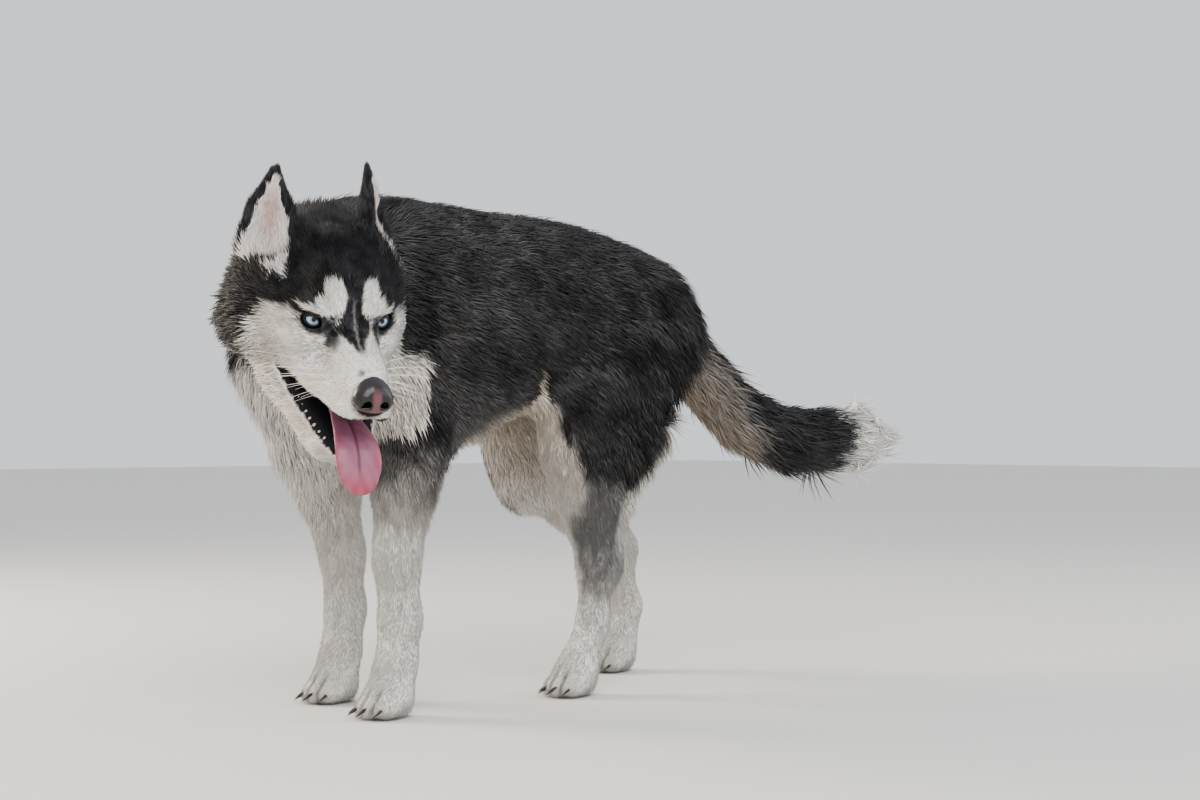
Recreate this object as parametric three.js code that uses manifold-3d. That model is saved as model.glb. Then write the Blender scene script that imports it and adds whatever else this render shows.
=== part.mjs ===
// A life-size model of a standing husky. It looks back over its left shoulder with its mouth open,
// its left hind foot set forward, and its bushy tail carried low behind.
// Millimetres. The dog faces -X, its left side is -Y, and +Z is up. The shapes are laid out from a
// point on the floor under the withers, and the whole is centred on its own footprint at the end.
import * as THREE from "three";
import { mergeVertices } from "three/addons/utils/BufferGeometryUtils.js";
import Module from "manifold-3d";

const wasm = await Module();
wasm.setup();

// Driving sizes
const WITHERS = 582; // height over the shoulder blades, coat included
const GAP = 0.3; // between two pieces that touch
const LEFT = -1; // the sign of Y on the dog's left
const RIGHT = 1;

const CHEST_HALF = 112; // half the chest's width
const BRISKET = 280; // floor to the underside of the chest
const RUMP_END = 428; // withers to the back of the rump
const FOOT_SPREAD = 75; // midline to the middle of a paw

const HEAD_AT = [-172, -170, 428]; // the point between the eyes
const HEAD_TURN = 74.5; // degrees from straight ahead round to the left
const HEAD_PITCH = 26; // degrees, nose down
const EYE_APART = 34; // midline to the middle of an eye
const EYE_RADIUS = 12;
const JAW_OPEN = 24; // degrees
const MUZZLE = 112; // between the eyes to the nose

const COLOURS = {
  black: 0x26272a,
  white: 0xe6e1d8,
  grey: 0x8f8b86,
  nose: 0x3a2c2e,
  tongue: 0xb9667c,
  eye: 0xa9cbe4,
  gums: 0x1d1a1b,
};

const v3 = (x, y, z) => new THREE.Vector3(x, y, z);
const degrees = THREE.MathUtils.degToRad;

// Forms: each is a rough distance to a simple shape, negative inside, with a ball that bounds it

// A round bone from a to b. `side` and `wide` squash or widen its section along one direction.
function bone(a, b, ra, rb, { side = v3(0, 1, 0), wide = 1, blend = 18 } = {}) {
  const across = side.clone().normalize();
  const squash = (p) => p.clone().addScaledVector(across, p.dot(across) * (1 / wide - 1));
  const start = squash(a);
  const along = squash(b).sub(start);
  const length2 = Math.max(along.lengthSq(), 1e-6);
  const q = v3();
  const at = (x, y, z) => {
    const s = (x * across.x + y * across.y + z * across.z) * (1 / wide - 1);
    q.set(x + across.x * s - start.x, y + across.y * s - start.y, z + across.z * s - start.z);
    const t = Math.min(1, Math.max(0, q.dot(along) / length2));
    q.addScaledVector(along, -t);
    return (q.length() - (ra + (rb - ra) * t)) * Math.min(1, wide);
  };
  const centre = a.clone().lerp(b, 0.5);
  const reach = a.distanceTo(b) / 2 + Math.max(ra, rb) * Math.max(1, wide);
  return { at, centre, reach, blend };
}

// An egg with three radii along the axes of `turn`.
function egg(centre, radii, { turn = new THREE.Matrix4(), blend = 18 } = {}) {
  const e = turn.elements;
  const [rx, ry, rz] = radii;
  const least = Math.min(rx, ry, rz);
  const at = (x, y, z) => {
    const dx = x - centre.x;
    const dy = y - centre.y;
    const dz = z - centre.z;
    const a = (dx * e[0] + dy * e[1] + dz * e[2]) / rx;
    const b = (dx * e[4] + dy * e[5] + dz * e[6]) / ry;
    const c = (dx * e[8] + dy * e[9] + dz * e[10]) / rz;
    const k0 = Math.sqrt(a * a + b * b + c * c);
    const k1 = Math.sqrt((a * a) / (rx * rx) + (b * b) / (ry * ry) + (c * c) / (rz * rz));
    return k1 > 1e-9 ? (k0 * (k0 - 1)) / k1 : -least;
  };
  return { at, centre: centre.clone(), reach: Math.max(rx, ry, rz), blend };
}

// The trunk: a tunnel of rounded sections along X, each with a half width, a top and a bottom.
function trunk(stations, blend) {
  const xs = stations.map((s) => s[0]);
  const curves = [1, 2, 3].map((c) => {
    const slopes = stations.map((s, i) => {
      const before = stations[Math.max(0, i - 1)];
      const after = stations[Math.min(stations.length - 1, i + 1)];
      return (after[c] - before[c]) / (after[0] - before[0]);
    });
    return (i, t) => {
      const span = xs[i + 1] - xs[i];
      const t2 = t * t;
      const t3 = t2 * t;
      return (
        (2 * t3 - 3 * t2 + 1) * stations[i][c] +
        (t3 - 2 * t2 + t) * span * slopes[i] +
        (3 * t2 - 2 * t3) * stations[i + 1][c] +
        (t3 - t2) * span * slopes[i + 1]
      );
    };
  });
  const last = xs.length - 1;
  const at = (x, y, z) => {
    const inside = Math.min(xs[last] - 1e-6, Math.max(xs[0], x));
    let i = 0;
    while (i < last - 1 && inside >= xs[i + 1]) i++;
    const t = (inside - xs[i]) / (xs[i + 1] - xs[i]);
    const half = curves[0](i, t);
    const top = curves[1](i, t);
    const bottom = curves[2](i, t);
    const middle = bottom + (top - bottom) * 0.52;
    const tall = z > middle ? top - middle : middle - bottom;
    const round = Math.hypot(y / half, (z - middle) / tall);
    const d = (round - 1) * Math.min(half, tall);
    const beyond = Math.abs(x - inside);
    return beyond > 0 ? Math.hypot(Math.max(d, 0), beyond) : d;
  };
  return { at, centre: v3((xs[0] + xs[last]) / 2, 0, 430), reach: (xs[last] - xs[0]) / 2 + 160, blend };
}

const cut = (form) => ({ ...form, cut: true });

// Blends the forms in order into one field. A form that is too far off to matter is passed over.
function fieldOf(forms) {
  return (x, y, z) => {
    let d = 1e3;
    for (const form of forms) {
      const { centre: c, reach, blend: k } = form;
      const off = Math.hypot(x - c.x, y - c.y, z - c.z) - reach;
      if (form.cut) {
        if (off > k - d) continue;
        const other = -form.at(x, y, z);
        const h = Math.max(k - Math.abs(d - other), 0) / k;
        d = Math.max(d, other) + (h * h * k) / 4;
      } else {
        if (off > d + k) continue;
        const other = form.at(x, y, z);
        const h = Math.max(k - Math.abs(d - other), 0) / k;
        d = Math.min(d, other) - (h * h * k) / 4;
      }
    }
    return d;
  };
}

// Skin of a field by marching tetrahedra, which always closes

const CUBE = [
  [0, 0, 0], [1, 0, 0], [0, 1, 0], [1, 1, 0], [0, 0, 1], [1, 0, 1], [0, 1, 1], [1, 1, 1],
];
const TETS = [
  [0, 5, 1, 7], [0, 1, 3, 7], [0, 3, 2, 7], [0, 2, 6, 7], [0, 6, 4, 7], [0, 4, 5, 7],
];

function skinOf(field, [low, high], cell) {
  const n = [0, 1, 2].map((i) => Math.ceil((high[i] - low[i]) / cell) + 1);
  const index = (i, j, k) => (k * n[1] + j) * n[0] + i;
  const values = new Float64Array(n[0] * n[1] * n[2]);
  for (let k = 0; k < n[2]; k++)
    for (let j = 0; j < n[1]; j++)
      for (let i = 0; i < n[0]; i++) {
        const rim = i === 0 || j === 0 || k === 0 || i === n[0] - 1 || j === n[1] - 1 || k === n[2] - 1;
        const d = field(low[0] + i * cell, low[1] + j * cell, low[2] + k * cell);
        const outside = rim ? Math.max(d, cell * 0.3) : d;
        values[index(i, j, k)] = Math.abs(outside) < cell * 0.02 ? cell * 0.02 : outside;
      }
  const points = [];
  const faces = [];
  const made = new Map();
  const total = values.length;
  const place = (g, out) => {
    out[0] = low[0] + (g % n[0]) * cell;
    out[1] = low[1] + (Math.floor(g / n[0]) % n[1]) * cell;
    out[2] = low[2] + Math.floor(g / (n[0] * n[1])) * cell;
  };
  const p = [0, 0, 0];
  const q = [0, 0, 0];
  const crossing = (a, b) => {
    const key = a < b ? a * total + b : b * total + a;
    let id = made.get(key);
    if (id === undefined) {
      const t = values[a] / (values[a] - values[b]);
      place(a, p);
      place(b, q);
      id = points.length / 3;
      points.push(p[0] + (q[0] - p[0]) * t, p[1] + (q[1] - p[1]) * t, p[2] + (q[2] - p[2]) * t);
      made.set(key, id);
    }
    return id;
  };
  // Adds a triangle so that it faces from the corner inside to the corner outside.
  const add = (a, b, c, inner, outer) => {
    place(inner, p);
    place(outer, q);
    const [ax, ay, az] = points.slice(a * 3, a * 3 + 3);
    const ux = points[b * 3] - ax;
    const uy = points[b * 3 + 1] - ay;
    const uz = points[b * 3 + 2] - az;
    const wx = points[c * 3] - ax;
    const wy = points[c * 3 + 1] - ay;
    const wz = points[c * 3 + 2] - az;
    const dot =
      (uy * wz - uz * wy) * (q[0] - p[0]) +
      (uz * wx - ux * wz) * (q[1] - p[1]) +
      (ux * wy - uy * wx) * (q[2] - p[2]);
    if (dot >= 0) faces.push(a, b, c);
    else faces.push(a, c, b);
  };
  for (let k = 0; k < n[2] - 1; k++)
    for (let j = 0; j < n[1] - 1; j++)
      for (let i = 0; i < n[0] - 1; i++) {
        const corners = CUBE.map(([a, b, c]) => index(i + a, j + b, k + c));
        const below = corners.reduce((sum, g) => sum + (values[g] < 0 ? 1 : 0), 0);
        if (below === 0 || below === 8) continue;
        for (const tet of TETS) {
          const inner = tet.map((t) => corners[t]).filter((g) => values[g] < 0);
          const outer = tet.map((t) => corners[t]).filter((g) => values[g] >= 0);
          if (inner.length === 1) {
            const [a, b, c] = outer.map((g) => crossing(inner[0], g));
            add(a, b, c, inner[0], outer[0]);
          } else if (inner.length === 3) {
            const [a, b, c] = inner.map((g) => crossing(g, outer[0]));
            add(a, b, c, inner[0], outer[0]);
          } else if (inner.length === 2) {
            const [a, b, c, d] = [
              crossing(inner[0], outer[0]), crossing(inner[0], outer[1]),
              crossing(inner[1], outer[1]), crossing(inner[1], outer[0]),
            ];
            add(a, b, c, inner[0], outer[0]);
            add(a, c, d, inner[0], outer[0]);
          }
        }
      }
  return { points, faces };
}

// Thins a closed mesh to about `count` triangles by folding away the edges that matter least.
// Each point keeps the sum of its faces' squared distances, so flat stretches thin first.
function thinned({ points, faces }, count) {
  const pos = Float64Array.from(points);
  const tri = Int32Array.from(faces);
  const verts = pos.length / 3;
  const around = Array.from({ length: verts }, () => []);
  const quadric = new Float64Array(verts * 10);
  const dead = new Uint8Array(tri.length / 3);
  const age = new Int32Array(verts);
  const normal = (a, b, c) => {
    const ux = pos[b * 3] - pos[a * 3];
    const uy = pos[b * 3 + 1] - pos[a * 3 + 1];
    const uz = pos[b * 3 + 2] - pos[a * 3 + 2];
    const wx = pos[c * 3] - pos[a * 3];
    const wy = pos[c * 3 + 1] - pos[a * 3 + 1];
    const wz = pos[c * 3 + 2] - pos[a * 3 + 2];
    return [uy * wz - uz * wy, uz * wx - ux * wz, ux * wy - uy * wx];
  };
  for (let f = 0; f < dead.length; f++) {
    const [a, b, c] = [tri[f * 3], tri[f * 3 + 1], tri[f * 3 + 2]];
    for (const v of [a, b, c]) around[v].push(f);
    const m = normal(a, b, c);
    const area = Math.hypot(...m);
    if (area < 1e-9) continue;
    const [x, y, z] = m.map((e) => e / area);
    const w = -(x * pos[a * 3] + y * pos[a * 3 + 1] + z * pos[a * 3 + 2]);
    const q = [x * x, x * y, x * z, x * w, y * y, y * z, y * w, z * z, z * w, w * w];
    for (const v of [a, b, c]) for (let i = 0; i < 10; i++) quadric[v * 10 + i] += q[i] * area;
  }
  const sum = new Float64Array(10);
  const best = [0, 0, 0];
  const costAt = (q, x, y, z) =>
    q[0] * x * x + 2 * q[1] * x * y + 2 * q[2] * x * z + 2 * q[3] * x + q[4] * y * y +
    2 * q[5] * y * z + 2 * q[6] * y + q[7] * z * z + 2 * q[8] * z + q[9];
  const aim = (a, b) => {
    for (let i = 0; i < 10; i++) sum[i] = quadric[a * 10 + i] + quadric[b * 10 + i];
    const [m00, m01, m02, m03, m11, m12, m13, m22, m23] = sum;
    const c0 = m11 * m22 - m12 * m12;
    const c1 = m02 * m12 - m01 * m22;
    const c2 = m01 * m12 - m02 * m11;
    const det = m00 * c0 + m01 * c1 + m02 * c2;
    const mid = [0, 1, 2].map((i) => (pos[a * 3 + i] + pos[b * 3 + i]) / 2);
    const length = Math.hypot(...[0, 1, 2].map((i) => pos[a * 3 + i] - pos[b * 3 + i]));
    let [x, y, z] = mid;
    if (Math.abs(det) > 1e-4 * Math.max(1e-9, (m00 + m11 + m22) ** 3)) {
      const px = -(m03 * c0 + m13 * c1 + m23 * c2) / det;
      const py = -(m03 * c1 + m13 * (m00 * m22 - m02 * m02) + m23 * (m01 * m02 - m00 * m12)) / det;
      const pz = -(m03 * c2 + m13 * (m01 * m02 - m00 * m12) + m23 * (m00 * m11 - m01 * m01)) / det;
      if (Math.hypot(px - x, py - y, pz - z) < 2 * length) [x, y, z] = [px, py, pz];
    }
    best[0] = x;
    best[1] = y;
    best[2] = z;
    return Math.max(0, costAt(sum, x, y, z)) + 1e-5 * length * length;
  };
  const heap = [];
  const push = (item) => {
    let i = heap.push(item) - 1;
    while (i > 0) {
      const up = (i - 1) >> 1;
      if (heap[up].cost <= heap[i].cost) break;
      [heap[up], heap[i]] = [heap[i], heap[up]];
      i = up;
    }
  };
  const pop = () => {
    const top = heap[0];
    const end = heap.pop();
    if (heap.length) {
      heap[0] = end;
      let i = 0;
      for (;;) {
        let low = i;
        for (const child of [2 * i + 1, 2 * i + 2])
          if (child < heap.length && heap[child].cost < heap[low].cost) low = child;
        if (low === i) break;
        [heap[low], heap[i]] = [heap[i], heap[low]];
        i = low;
      }
    }
    return top;
  };
  const offer = (a, b) => push({ cost: aim(a, b), a, b, ageA: age[a], ageB: age[b] });
  const neighbours = (v) => {
    const found = new Set();
    for (const f of around[v]) for (let i = 0; i < 3; i++) found.add(tri[f * 3 + i]);
    found.delete(v);
    return found;
  };
  for (let v = 0; v < verts; v++) for (const w of neighbours(v)) if (v < w) offer(v, w);
  let left = dead.length;
  while (left > count && heap.length) {
    const { a, b, ageA, ageB } = pop();
    if (ageA !== age[a] || ageB !== age[b]) continue;
    const nearA = neighbours(a);
    const shared = [...neighbours(b)].filter((v) => nearA.has(v));
    if (!nearA.has(b) || shared.length !== 2) continue;
    aim(a, b);
    const [x, y, z] = best;
    const turns = [a, b].some((v) =>
      around[v].some((f) => {
        const t = [tri[f * 3], tri[f * 3 + 1], tri[f * 3 + 2]];
        if (t.includes(a) && t.includes(b)) return false;
        const was = normal(...t);
        const old = [pos[v * 3], pos[v * 3 + 1], pos[v * 3 + 2]];
        [pos[v * 3], pos[v * 3 + 1], pos[v * 3 + 2]] = [x, y, z];
        const now = normal(...t);
        [pos[v * 3], pos[v * 3 + 1], pos[v * 3 + 2]] = old;
        const sizes = Math.hypot(...was) * Math.hypot(...now);
        const dot = was[0] * now[0] + was[1] * now[1] + was[2] * now[2];
        return Math.hypot(...now) < 1e-3 || dot < 0.3 * sizes;
      }),
    );
    if (turns) continue;
    [pos[a * 3], pos[a * 3 + 1], pos[a * 3 + 2]] = [x, y, z];
    for (let i = 0; i < 10; i++) quadric[a * 10 + i] += quadric[b * 10 + i];
    for (const f of around[b]) {
      const t = [tri[f * 3], tri[f * 3 + 1], tri[f * 3 + 2]];
      if (t.includes(a)) {
        dead[f] = 1;
        left--;
        for (const v of t) if (v !== b) around[v] = around[v].filter((g) => g !== f);
      } else {
        tri[f * 3 + t.indexOf(b)] = a;
        around[a].push(f);
      }
    }
    around[b] = [];
    age[a]++;
    age[b]++;
    for (const v of neighbours(a)) offer(a, v);
  }
  const kept = [];
  for (let f = 0; f < dead.length; f++) if (!dead[f]) kept.push(tri[f * 3], tri[f * 3 + 1], tri[f * 3 + 2]);
  return { points: pos, faces: kept };
}

// Solids

function solidOf(geometry, matrix = new THREE.Matrix4()) {
  const plain = geometry.index ? geometry.toNonIndexed() : geometry.clone();
  const bare = new THREE.BufferGeometry();
  bare.setAttribute("position", plain.getAttribute("position"));
  bare.applyMatrix4(matrix);
  const merged = mergeVertices(bare, 1e-4);
  const mesh = new wasm.Mesh({
    numProp: 3,
    vertProperties: Float32Array.from(merged.attributes.position.array),
    triVerts: Uint32Array.from(merged.index.array),
  });
  return new wasm.Manifold(mesh);
}

function geometryOf(solid) {
  const { vertProperties, triVerts, numProp } = solid.getMesh();
  const points = new Float32Array((vertProperties.length / numProp) * 3);
  for (let i = 0; i < points.length / 3; i++)
    points.set(vertProperties.subarray(i * numProp, i * numProp + 3), i * 3);
  const geometry = new THREE.BufferGeometry();
  geometry.setAttribute("position", new THREE.BufferAttribute(points, 3));
  geometry.setIndex(new THREE.BufferAttribute(triVerts, 1));
  geometry.computeVertexNormals();
  return geometry;
}

// Only the largest closed surface, without scraps or sealed hollows.
function largest(solid) {
  return solid.decompose().reduce((a, b) => (b.volume() > a.volume() ? b : a));
}

function fleshOf(forms, box, cell, count, swell = 0) {
  const field = fieldOf(forms);
  const { points, faces } = thinned(skinOf((x, y, z) => field(x, y, z) - swell, box, cell), count);
  const geometry = new THREE.BufferGeometry();
  geometry.setAttribute("position", new THREE.BufferAttribute(Float32Array.from(points), 3));
  geometry.setIndex(faces);
  return largest(solidOf(geometry));
}

// Where the way out from a point first leaves a field's inside
function surfaceFrom(field, from, way, far = 220) {
  let near = 0;
  let out = 4;
  while (out < far && field(from.x + way.x * out, from.y + way.y * out, from.z + way.z * out) < 0) {
    near = out;
    out += 4;
  }
  for (let i = 0; i < 6; i++) {
    const t = (near + out) / 2;
    if (field(from.x + way.x * t, from.y + way.y * t, from.z + way.z * t) < 0) near = t;
    else out = t;
  }
  return from.clone().addScaledVector(way, near);
}

// A lock of hair: flat, thick at its sunken root, tapering and bending to a tip along the coat's lie
function lock(root, way, out, { length, width, thick, lift = 0.16, sink = 5 }) {
  const lie = way.clone().addScaledVector(out, -way.dot(out)).normalize();
  const across = lie.clone().cross(out).normalize();
  const shape = new THREE.SphereGeometry(1, 5, 4);
  const p = shape.attributes.position;
  for (let i = 0; i < p.count; i++) {
    const t = (p.getY(i) + 1) / 2;
    const taper = 1.15 - 0.75 * t;
    const spot = root.clone()
      .addScaledVector(out, -sink + length * lift * (t - 0.35 * t * t))
      .addScaledVector(lie, length * (t - 0.12))
      .addScaledVector(across, (p.getX(i) * width * taper) / 2)
      .addScaledVector(out, (p.getZ(i) * thick * taper) / 2);
    p.setXYZ(i, spot.x, spot.y, spot.z);
  }
  const solid = solidOf(shape);
  return solid.volume() > 0 ? solid : solidOf(turnedOver(shape));
}

// The same shape with its faces turned to the other side
function turnedOver(shape) {
  const index = shape.index.array;
  for (let i = 0; i < index.length; i += 3) [index[i], index[i + 1]] = [index[i + 1], index[i]];
  return shape;
}

// A block that fills everything on the side of a plane that `normal` points to.
const BIG = 1600;
function beyond(point, normal) {
  const turn = new THREE.Quaternion().setFromUnitVectors(v3(0, 0, 1), normal.clone().normalize());
  const middle = point.clone().addScaledVector(normal.clone().normalize(), BIG / 2);
  const matrix = new THREE.Matrix4().compose(middle, turn, v3(1, 1, 1));
  return solidOf(new THREE.BoxGeometry(BIG, BIG, BIG), matrix);
}

// The space beyond every plane of a list of [point, normal]. `grow` moves each plane out.
function space(planes, grow = 0) {
  return planes
    .map(([point, normal]) => beyond(point.clone().addScaledVector(normal.clone().normalize(), -grow), normal))
    .reduce((a, b) => a.intersect(b));
}

// Head: laid out in its own axes, with u to the dog's right, v towards the nose and w up

const ahead = v3(-1, 0, 0).applyAxisAngle(v3(0, 0, 1), degrees(HEAD_TURN));
const headU = v3(0, RIGHT, 0).applyAxisAngle(v3(0, 0, 1), degrees(HEAD_TURN));
const headV = ahead.clone().applyAxisAngle(headU, degrees(-HEAD_PITCH));
const headW = headU.clone().cross(headV);
const HEAD = new THREE.Matrix4().makeBasis(headU, headV, headW).setPosition(...HEAD_AT);
const HEAD_AXES = new THREE.Matrix4().makeBasis(headU, headV, headW);
const inHead = (u, v, w) => v3(u, v, w).applyMatrix4(HEAD);
const nearHead = (u, forward, up) =>
  v3(...HEAD_AT).addScaledVector(headU, u).addScaledVector(ahead, forward).add(v3(0, 0, up));
const headWay = (u, v, w) => v3(u, v, w).applyMatrix4(HEAD_AXES).normalize();
const headEgg = (u, v, w, radii, blend) => egg(inHead(u, v, w), radii, { turn: HEAD_AXES, blend });

// A point or form on the lower jaw is laid out closed, then swung open about the jaw's joint.
const JAW_JOINT = [-46, -34]; // v, w
function onJaw(u, v, w) {
  const a = degrees(-JAW_OPEN);
  const dv = v - JAW_JOINT[0];
  const dw = w - JAW_JOINT[1];
  return inHead(
    u,
    JAW_JOINT[0] + dv * Math.cos(a) - dw * Math.sin(a),
    JAW_JOINT[1] + dv * Math.sin(a) + dw * Math.cos(a),
  );
}

const sides = [LEFT, RIGHT];
const CHEEK = { [LEFT]: 56, [RIGHT]: 74 }; // the turn of the head pushes the far cheek's fur out

const skull = [
  headEgg(0, -62, 18, [56, 66, 56], 20),
  headEgg(0, -24, 20, [42, 42, 34], 24),
  headEgg(0, -110, -6, [58, 48, 58], 26),
  ...sides.flatMap((side) => {
    return [
      headEgg(side * 50, -52, -18, [32, 50, 38], 24),
      headEgg(side * 54, -82, 12, [32, 40, 40], 24),
      headEgg(side * CHEEK[side], -84, -28, [34, 42, 48], 26),
      headEgg(side * 40, -6, -22, [20, 26, 22], 18),
      headEgg(side * 27, -3, 17, [20, 15, 10], 14),
      headEgg(side * 46, -84, 42, [27, 26, 24], 20),
    ];
  }),
];

const muzzle = [
  bone(inHead(0, 6, -20), inHead(0, 62, -35), 36, 27, { side: headU, wide: 0.92, blend: 22 }),
  bone(inHead(0, 62, -35), inHead(0, MUZZLE - 19, -44), 27, 22.5, { side: headU, wide: 0.96, blend: 14 }),
  bone(inHead(0, 8, -3), inHead(0, MUZZLE - 14, -33), 14, 11, { side: headU, wide: 1.1, blend: 14 }),
  ...sides.map((side) => {
    return bone(inHead(side * 44, -20, -50), inHead(side * 33, 38, -54), 15, 13, { blend: 14 });
  }),
  ...sides.map((side) => bone(inHead(side * 33, 38, -54), inHead(side * 18, MUZZLE - 20, -62), 13, 11, { blend: 12 })),
];

const NOSE_AT = [0, MUZZLE - 3, -38];
const noseForms = [
  headEgg(...NOSE_AT, [18.5, 13, 15.5], 8),
  ...sides.map((side) => headEgg(side * 10.5, MUZZLE - 2, -40, [9, 9.5, 9.5], 6)),
  ...sides.flatMap((side) => {
    return [
      cut(headEgg(side * 8.5, MUZZLE + 8, -40.5, [3.8, 9, 3.4], 2)),
      cut(bone(inHead(side * 9, MUZZLE + 8, -42), inHead(side * 19, MUZZLE - 2, -45), 2, 1.2, { blend: 2 })),
    ];
  }),
  cut(bone(inHead(0, MUZZLE + 12, -44), inHead(0, MUZZLE + 8, -62), 1.3, 1.3, { blend: 2 })),
];

const jaw = [
  bone(onJaw(0, -22, -66), onJaw(0, 48, -72), 29, 21, { side: headU, wide: 1.1, blend: 18 }),
  bone(onJaw(0, 48, -72), onJaw(0, 90, -70), 21, 15, { side: headU, wide: 1.15, blend: 12 }),
  ...sides.map((side) => {
    return bone(onJaw(side * 28, 10, -61), onJaw(side * 13, 92, -62), 8, 6.5, { blend: 8 });
  }),
  ...sides.map((side) => bone(onJaw(side * 44, -30, -72), onJaw(side * 19, 70, -80), 26, 16, { blend: 20 })),
];

// The open mouth: a wedge between the lips, with a vault above it and a trough for the tongue below.
const MOUTH_CORNER = [-16, -63]; // v, w
const mouth = [
  ...[0.14, 0.36, 0.58, 0.8].map((share) => {
    const a = degrees(-JAW_OPEN * share - 4);
    const far = 150;
    const end = inHead(0, MOUTH_CORNER[0] + far * Math.cos(a), MOUTH_CORNER[1] + far * Math.sin(a));
    const start = inHead(0, MOUTH_CORNER[0], MOUTH_CORNER[1]);
    return cut(bone(start, end, 2.2, 8, { side: headU, wide: 30, blend: 3 }));
  }),
  cut(bone(inHead(0, 14, -62), inHead(0, MUZZLE - 26, -64), 12, 9, { side: headU, wide: 1.4, blend: 5 })),
  cut(bone(onJaw(0, 20, -56), onJaw(0, 76, -59), 9, 6.5, { side: headU, wide: 1.35, blend: 4 })),
];

// Eyelids: a swelling round each eyeball, opened by an almond that slants up and out
const eyeAt = (side) => inHead(side * EYE_APART, -4, 0);
const eyeWay = (side) => headWay(side * 0.42, 1, 0.05);
function almondAxes(side) {
  const out = eyeWay(side);
  const slant = headWay(side, -0.4, 0.3);
  const across = slant.addScaledVector(out, -slant.dot(out)).normalize();
  return new THREE.Matrix4().makeBasis(across, out, across.clone().cross(out));
}
const lids = sides.flatMap((side) => {
  const centre = eyeAt(side);
  return [
    egg(centre, [17, 14.2, 14], { turn: almondAxes(side), blend: 9 }),
    cut(egg(centre.clone().addScaledVector(eyeWay(side), 12), [11.6, 9, 6.6], { turn: almondAxes(side), blend: 2 })),
  ];
});

// Ears: an upright cone, flattened, with a deep cup that opens the way the ear is turned
const EARS = {
  [RIGHT]: { foot: [64, -94, 38], tip: [64, -100, 126], faces: [0.35, 1, 0.1] },
  [LEFT]: { foot: [60, -98, 38], tip: [34, -100, 131], faces: [0.92, 0.5, 0.05] },
};
function earForms(side) {
  const { foot, tip, faces } = EARS[side];
  const base = inHead(side * foot[0], foot[1], foot[2]);
  const top = inHead(side * tip[0], tip[1], tip[2]);
  const open = headWay(side * faces[0], faces[1], faces[2]);
  const up = top.clone().sub(base).normalize();
  open.addScaledVector(up, -open.dot(up)).normalize();
  const mid = base.clone().lerp(top, 0.42);
  const out = (p, d) => p.clone().addScaledVector(open, d);
  return [
    bone(base, mid, 34, 26, { side: open, wide: 0.62, blend: 10 }),
    bone(mid, top, 26, 6, { side: open, wide: 0.62, blend: 4 }),
    cut(bone(out(base, 22).addScaledVector(up, 14), out(mid, 15), 26, 20.5, { side: open, wide: 0.72, blend: 5 })),
    cut(bone(out(mid, 15), out(top, 10).addScaledVector(up, -12), 20.5, 4, { side: open, wide: 0.72, blend: 5 })),
  ];
}

// Neck: from the shoulders to the back of the skull, bent to the left
const neckLine = new THREE.CatmullRomCurve3([
  v3(60, 0, 450), v3(-30, 2, 455), v3(-98, -8, 462), v3(-138, -48, 462), inHead(0, -100, 0),
]);
const NECK_RADII = [112, 106, 85, 70, 62];
const neck = NECK_RADII.slice(1).map((r, i) => {
  const from = neckLine.getPoint(i / 4);
  const to = neckLine.getPoint((i + 1) / 4);
  const side = to.clone().sub(from).cross(v3(0, 0, 1));
  return bone(from, to, NECK_RADII[i], r, { side, wide: 0.86, blend: 30 });
});
neck.push(
  bone(v3(-60, 0, 500), v3(-122, -30, 492), 72, 62, { blend: 30 }),
  egg(v3(-104, 10, 384), [52, 68, 74], { blend: 36 }), // the front of the chest
  bone(v3(-90, 18, 350), v3(-80, 34, 298), 56, 42, { blend: 34 }),
  bone(v3(-72, 66, 306), v3(-42, 72, 240), 39, 25, { blend: 26 }),
);

// Trunk: withers to rump
const body = [
  trunk(
    [
      [-96, 66, 540, 330],
      [-50, 98, 568, 296],
      [0, CHEST_HALF, WITHERS - 1, BRISKET + 1],
      [60, CHEST_HALF + 6, WITHERS - 3, BRISKET + 6],
      [120, CHEST_HALF + 6, WITHERS - 4, 305],
      [180, CHEST_HALF - 2, WITHERS - 5, 338],
      [240, 98, 575, 362],
      [300, 92, 565, 372],
      [350, 92, 551, 380],
      [395, 82, 530, 396],
      [RUMP_END, 50, 500, 424],
    ],
    30,
  ),
  egg(v3(374, 0, 452), [64, 84, 70], { blend: 40 }),
];

// A leg is a chain of joints, each [x, y, z, radius]; the section is `wide` times as wide as deep
function limb(joints, { wide = 1, blend = 20, side = v3(0, 1, 0) } = {}) {
  return joints.slice(1).map((to, i) => {
    const from = joints[i];
    return bone(v3(...from.slice(0, 3)), v3(...to.slice(0, 3)), from[3], to[3], { side, wide, blend });
  });
}

// A paw at the end of a leg: a heel pad, four toes and their claws
const TOES = [-1.5, -0.5, 0.5, 1.5];
function pawForms(x, y, wide) {
  return [
    egg(v3(x + 6, y, 20), [29, wide * 0.92, 23], { blend: 14 }),
    ...TOES.map((t) => {
      const back = Math.abs(t) > 1 ? 12 : 0;
      return bone(
        v3(x - 4 + back, y + t * wide * 0.42, 24), v3(x - 24 + back, y + t * wide * 0.5, 12), 14, 11.5,
        { blend: 6 },
      );
    }),
  ];
}
function clawsOf(x, y, wide) {
  return TOES.map((t) => {
    const back = Math.abs(t) > 1 ? 12 : 0;
    const cone = new THREE.ConeGeometry(3.4, 20, 6);
    const point = v3(-0.9, 0, -0.42).normalize();
    const turn = new THREE.Quaternion().setFromUnitVectors(v3(0, 1, 0), point);
    const place = v3(x - 36 + back, y + t * wide * 0.53, 10.5);
    return solidOf(cone, new THREE.Matrix4().compose(place, turn, v3(1, 1, 1)));
  });
}

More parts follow.
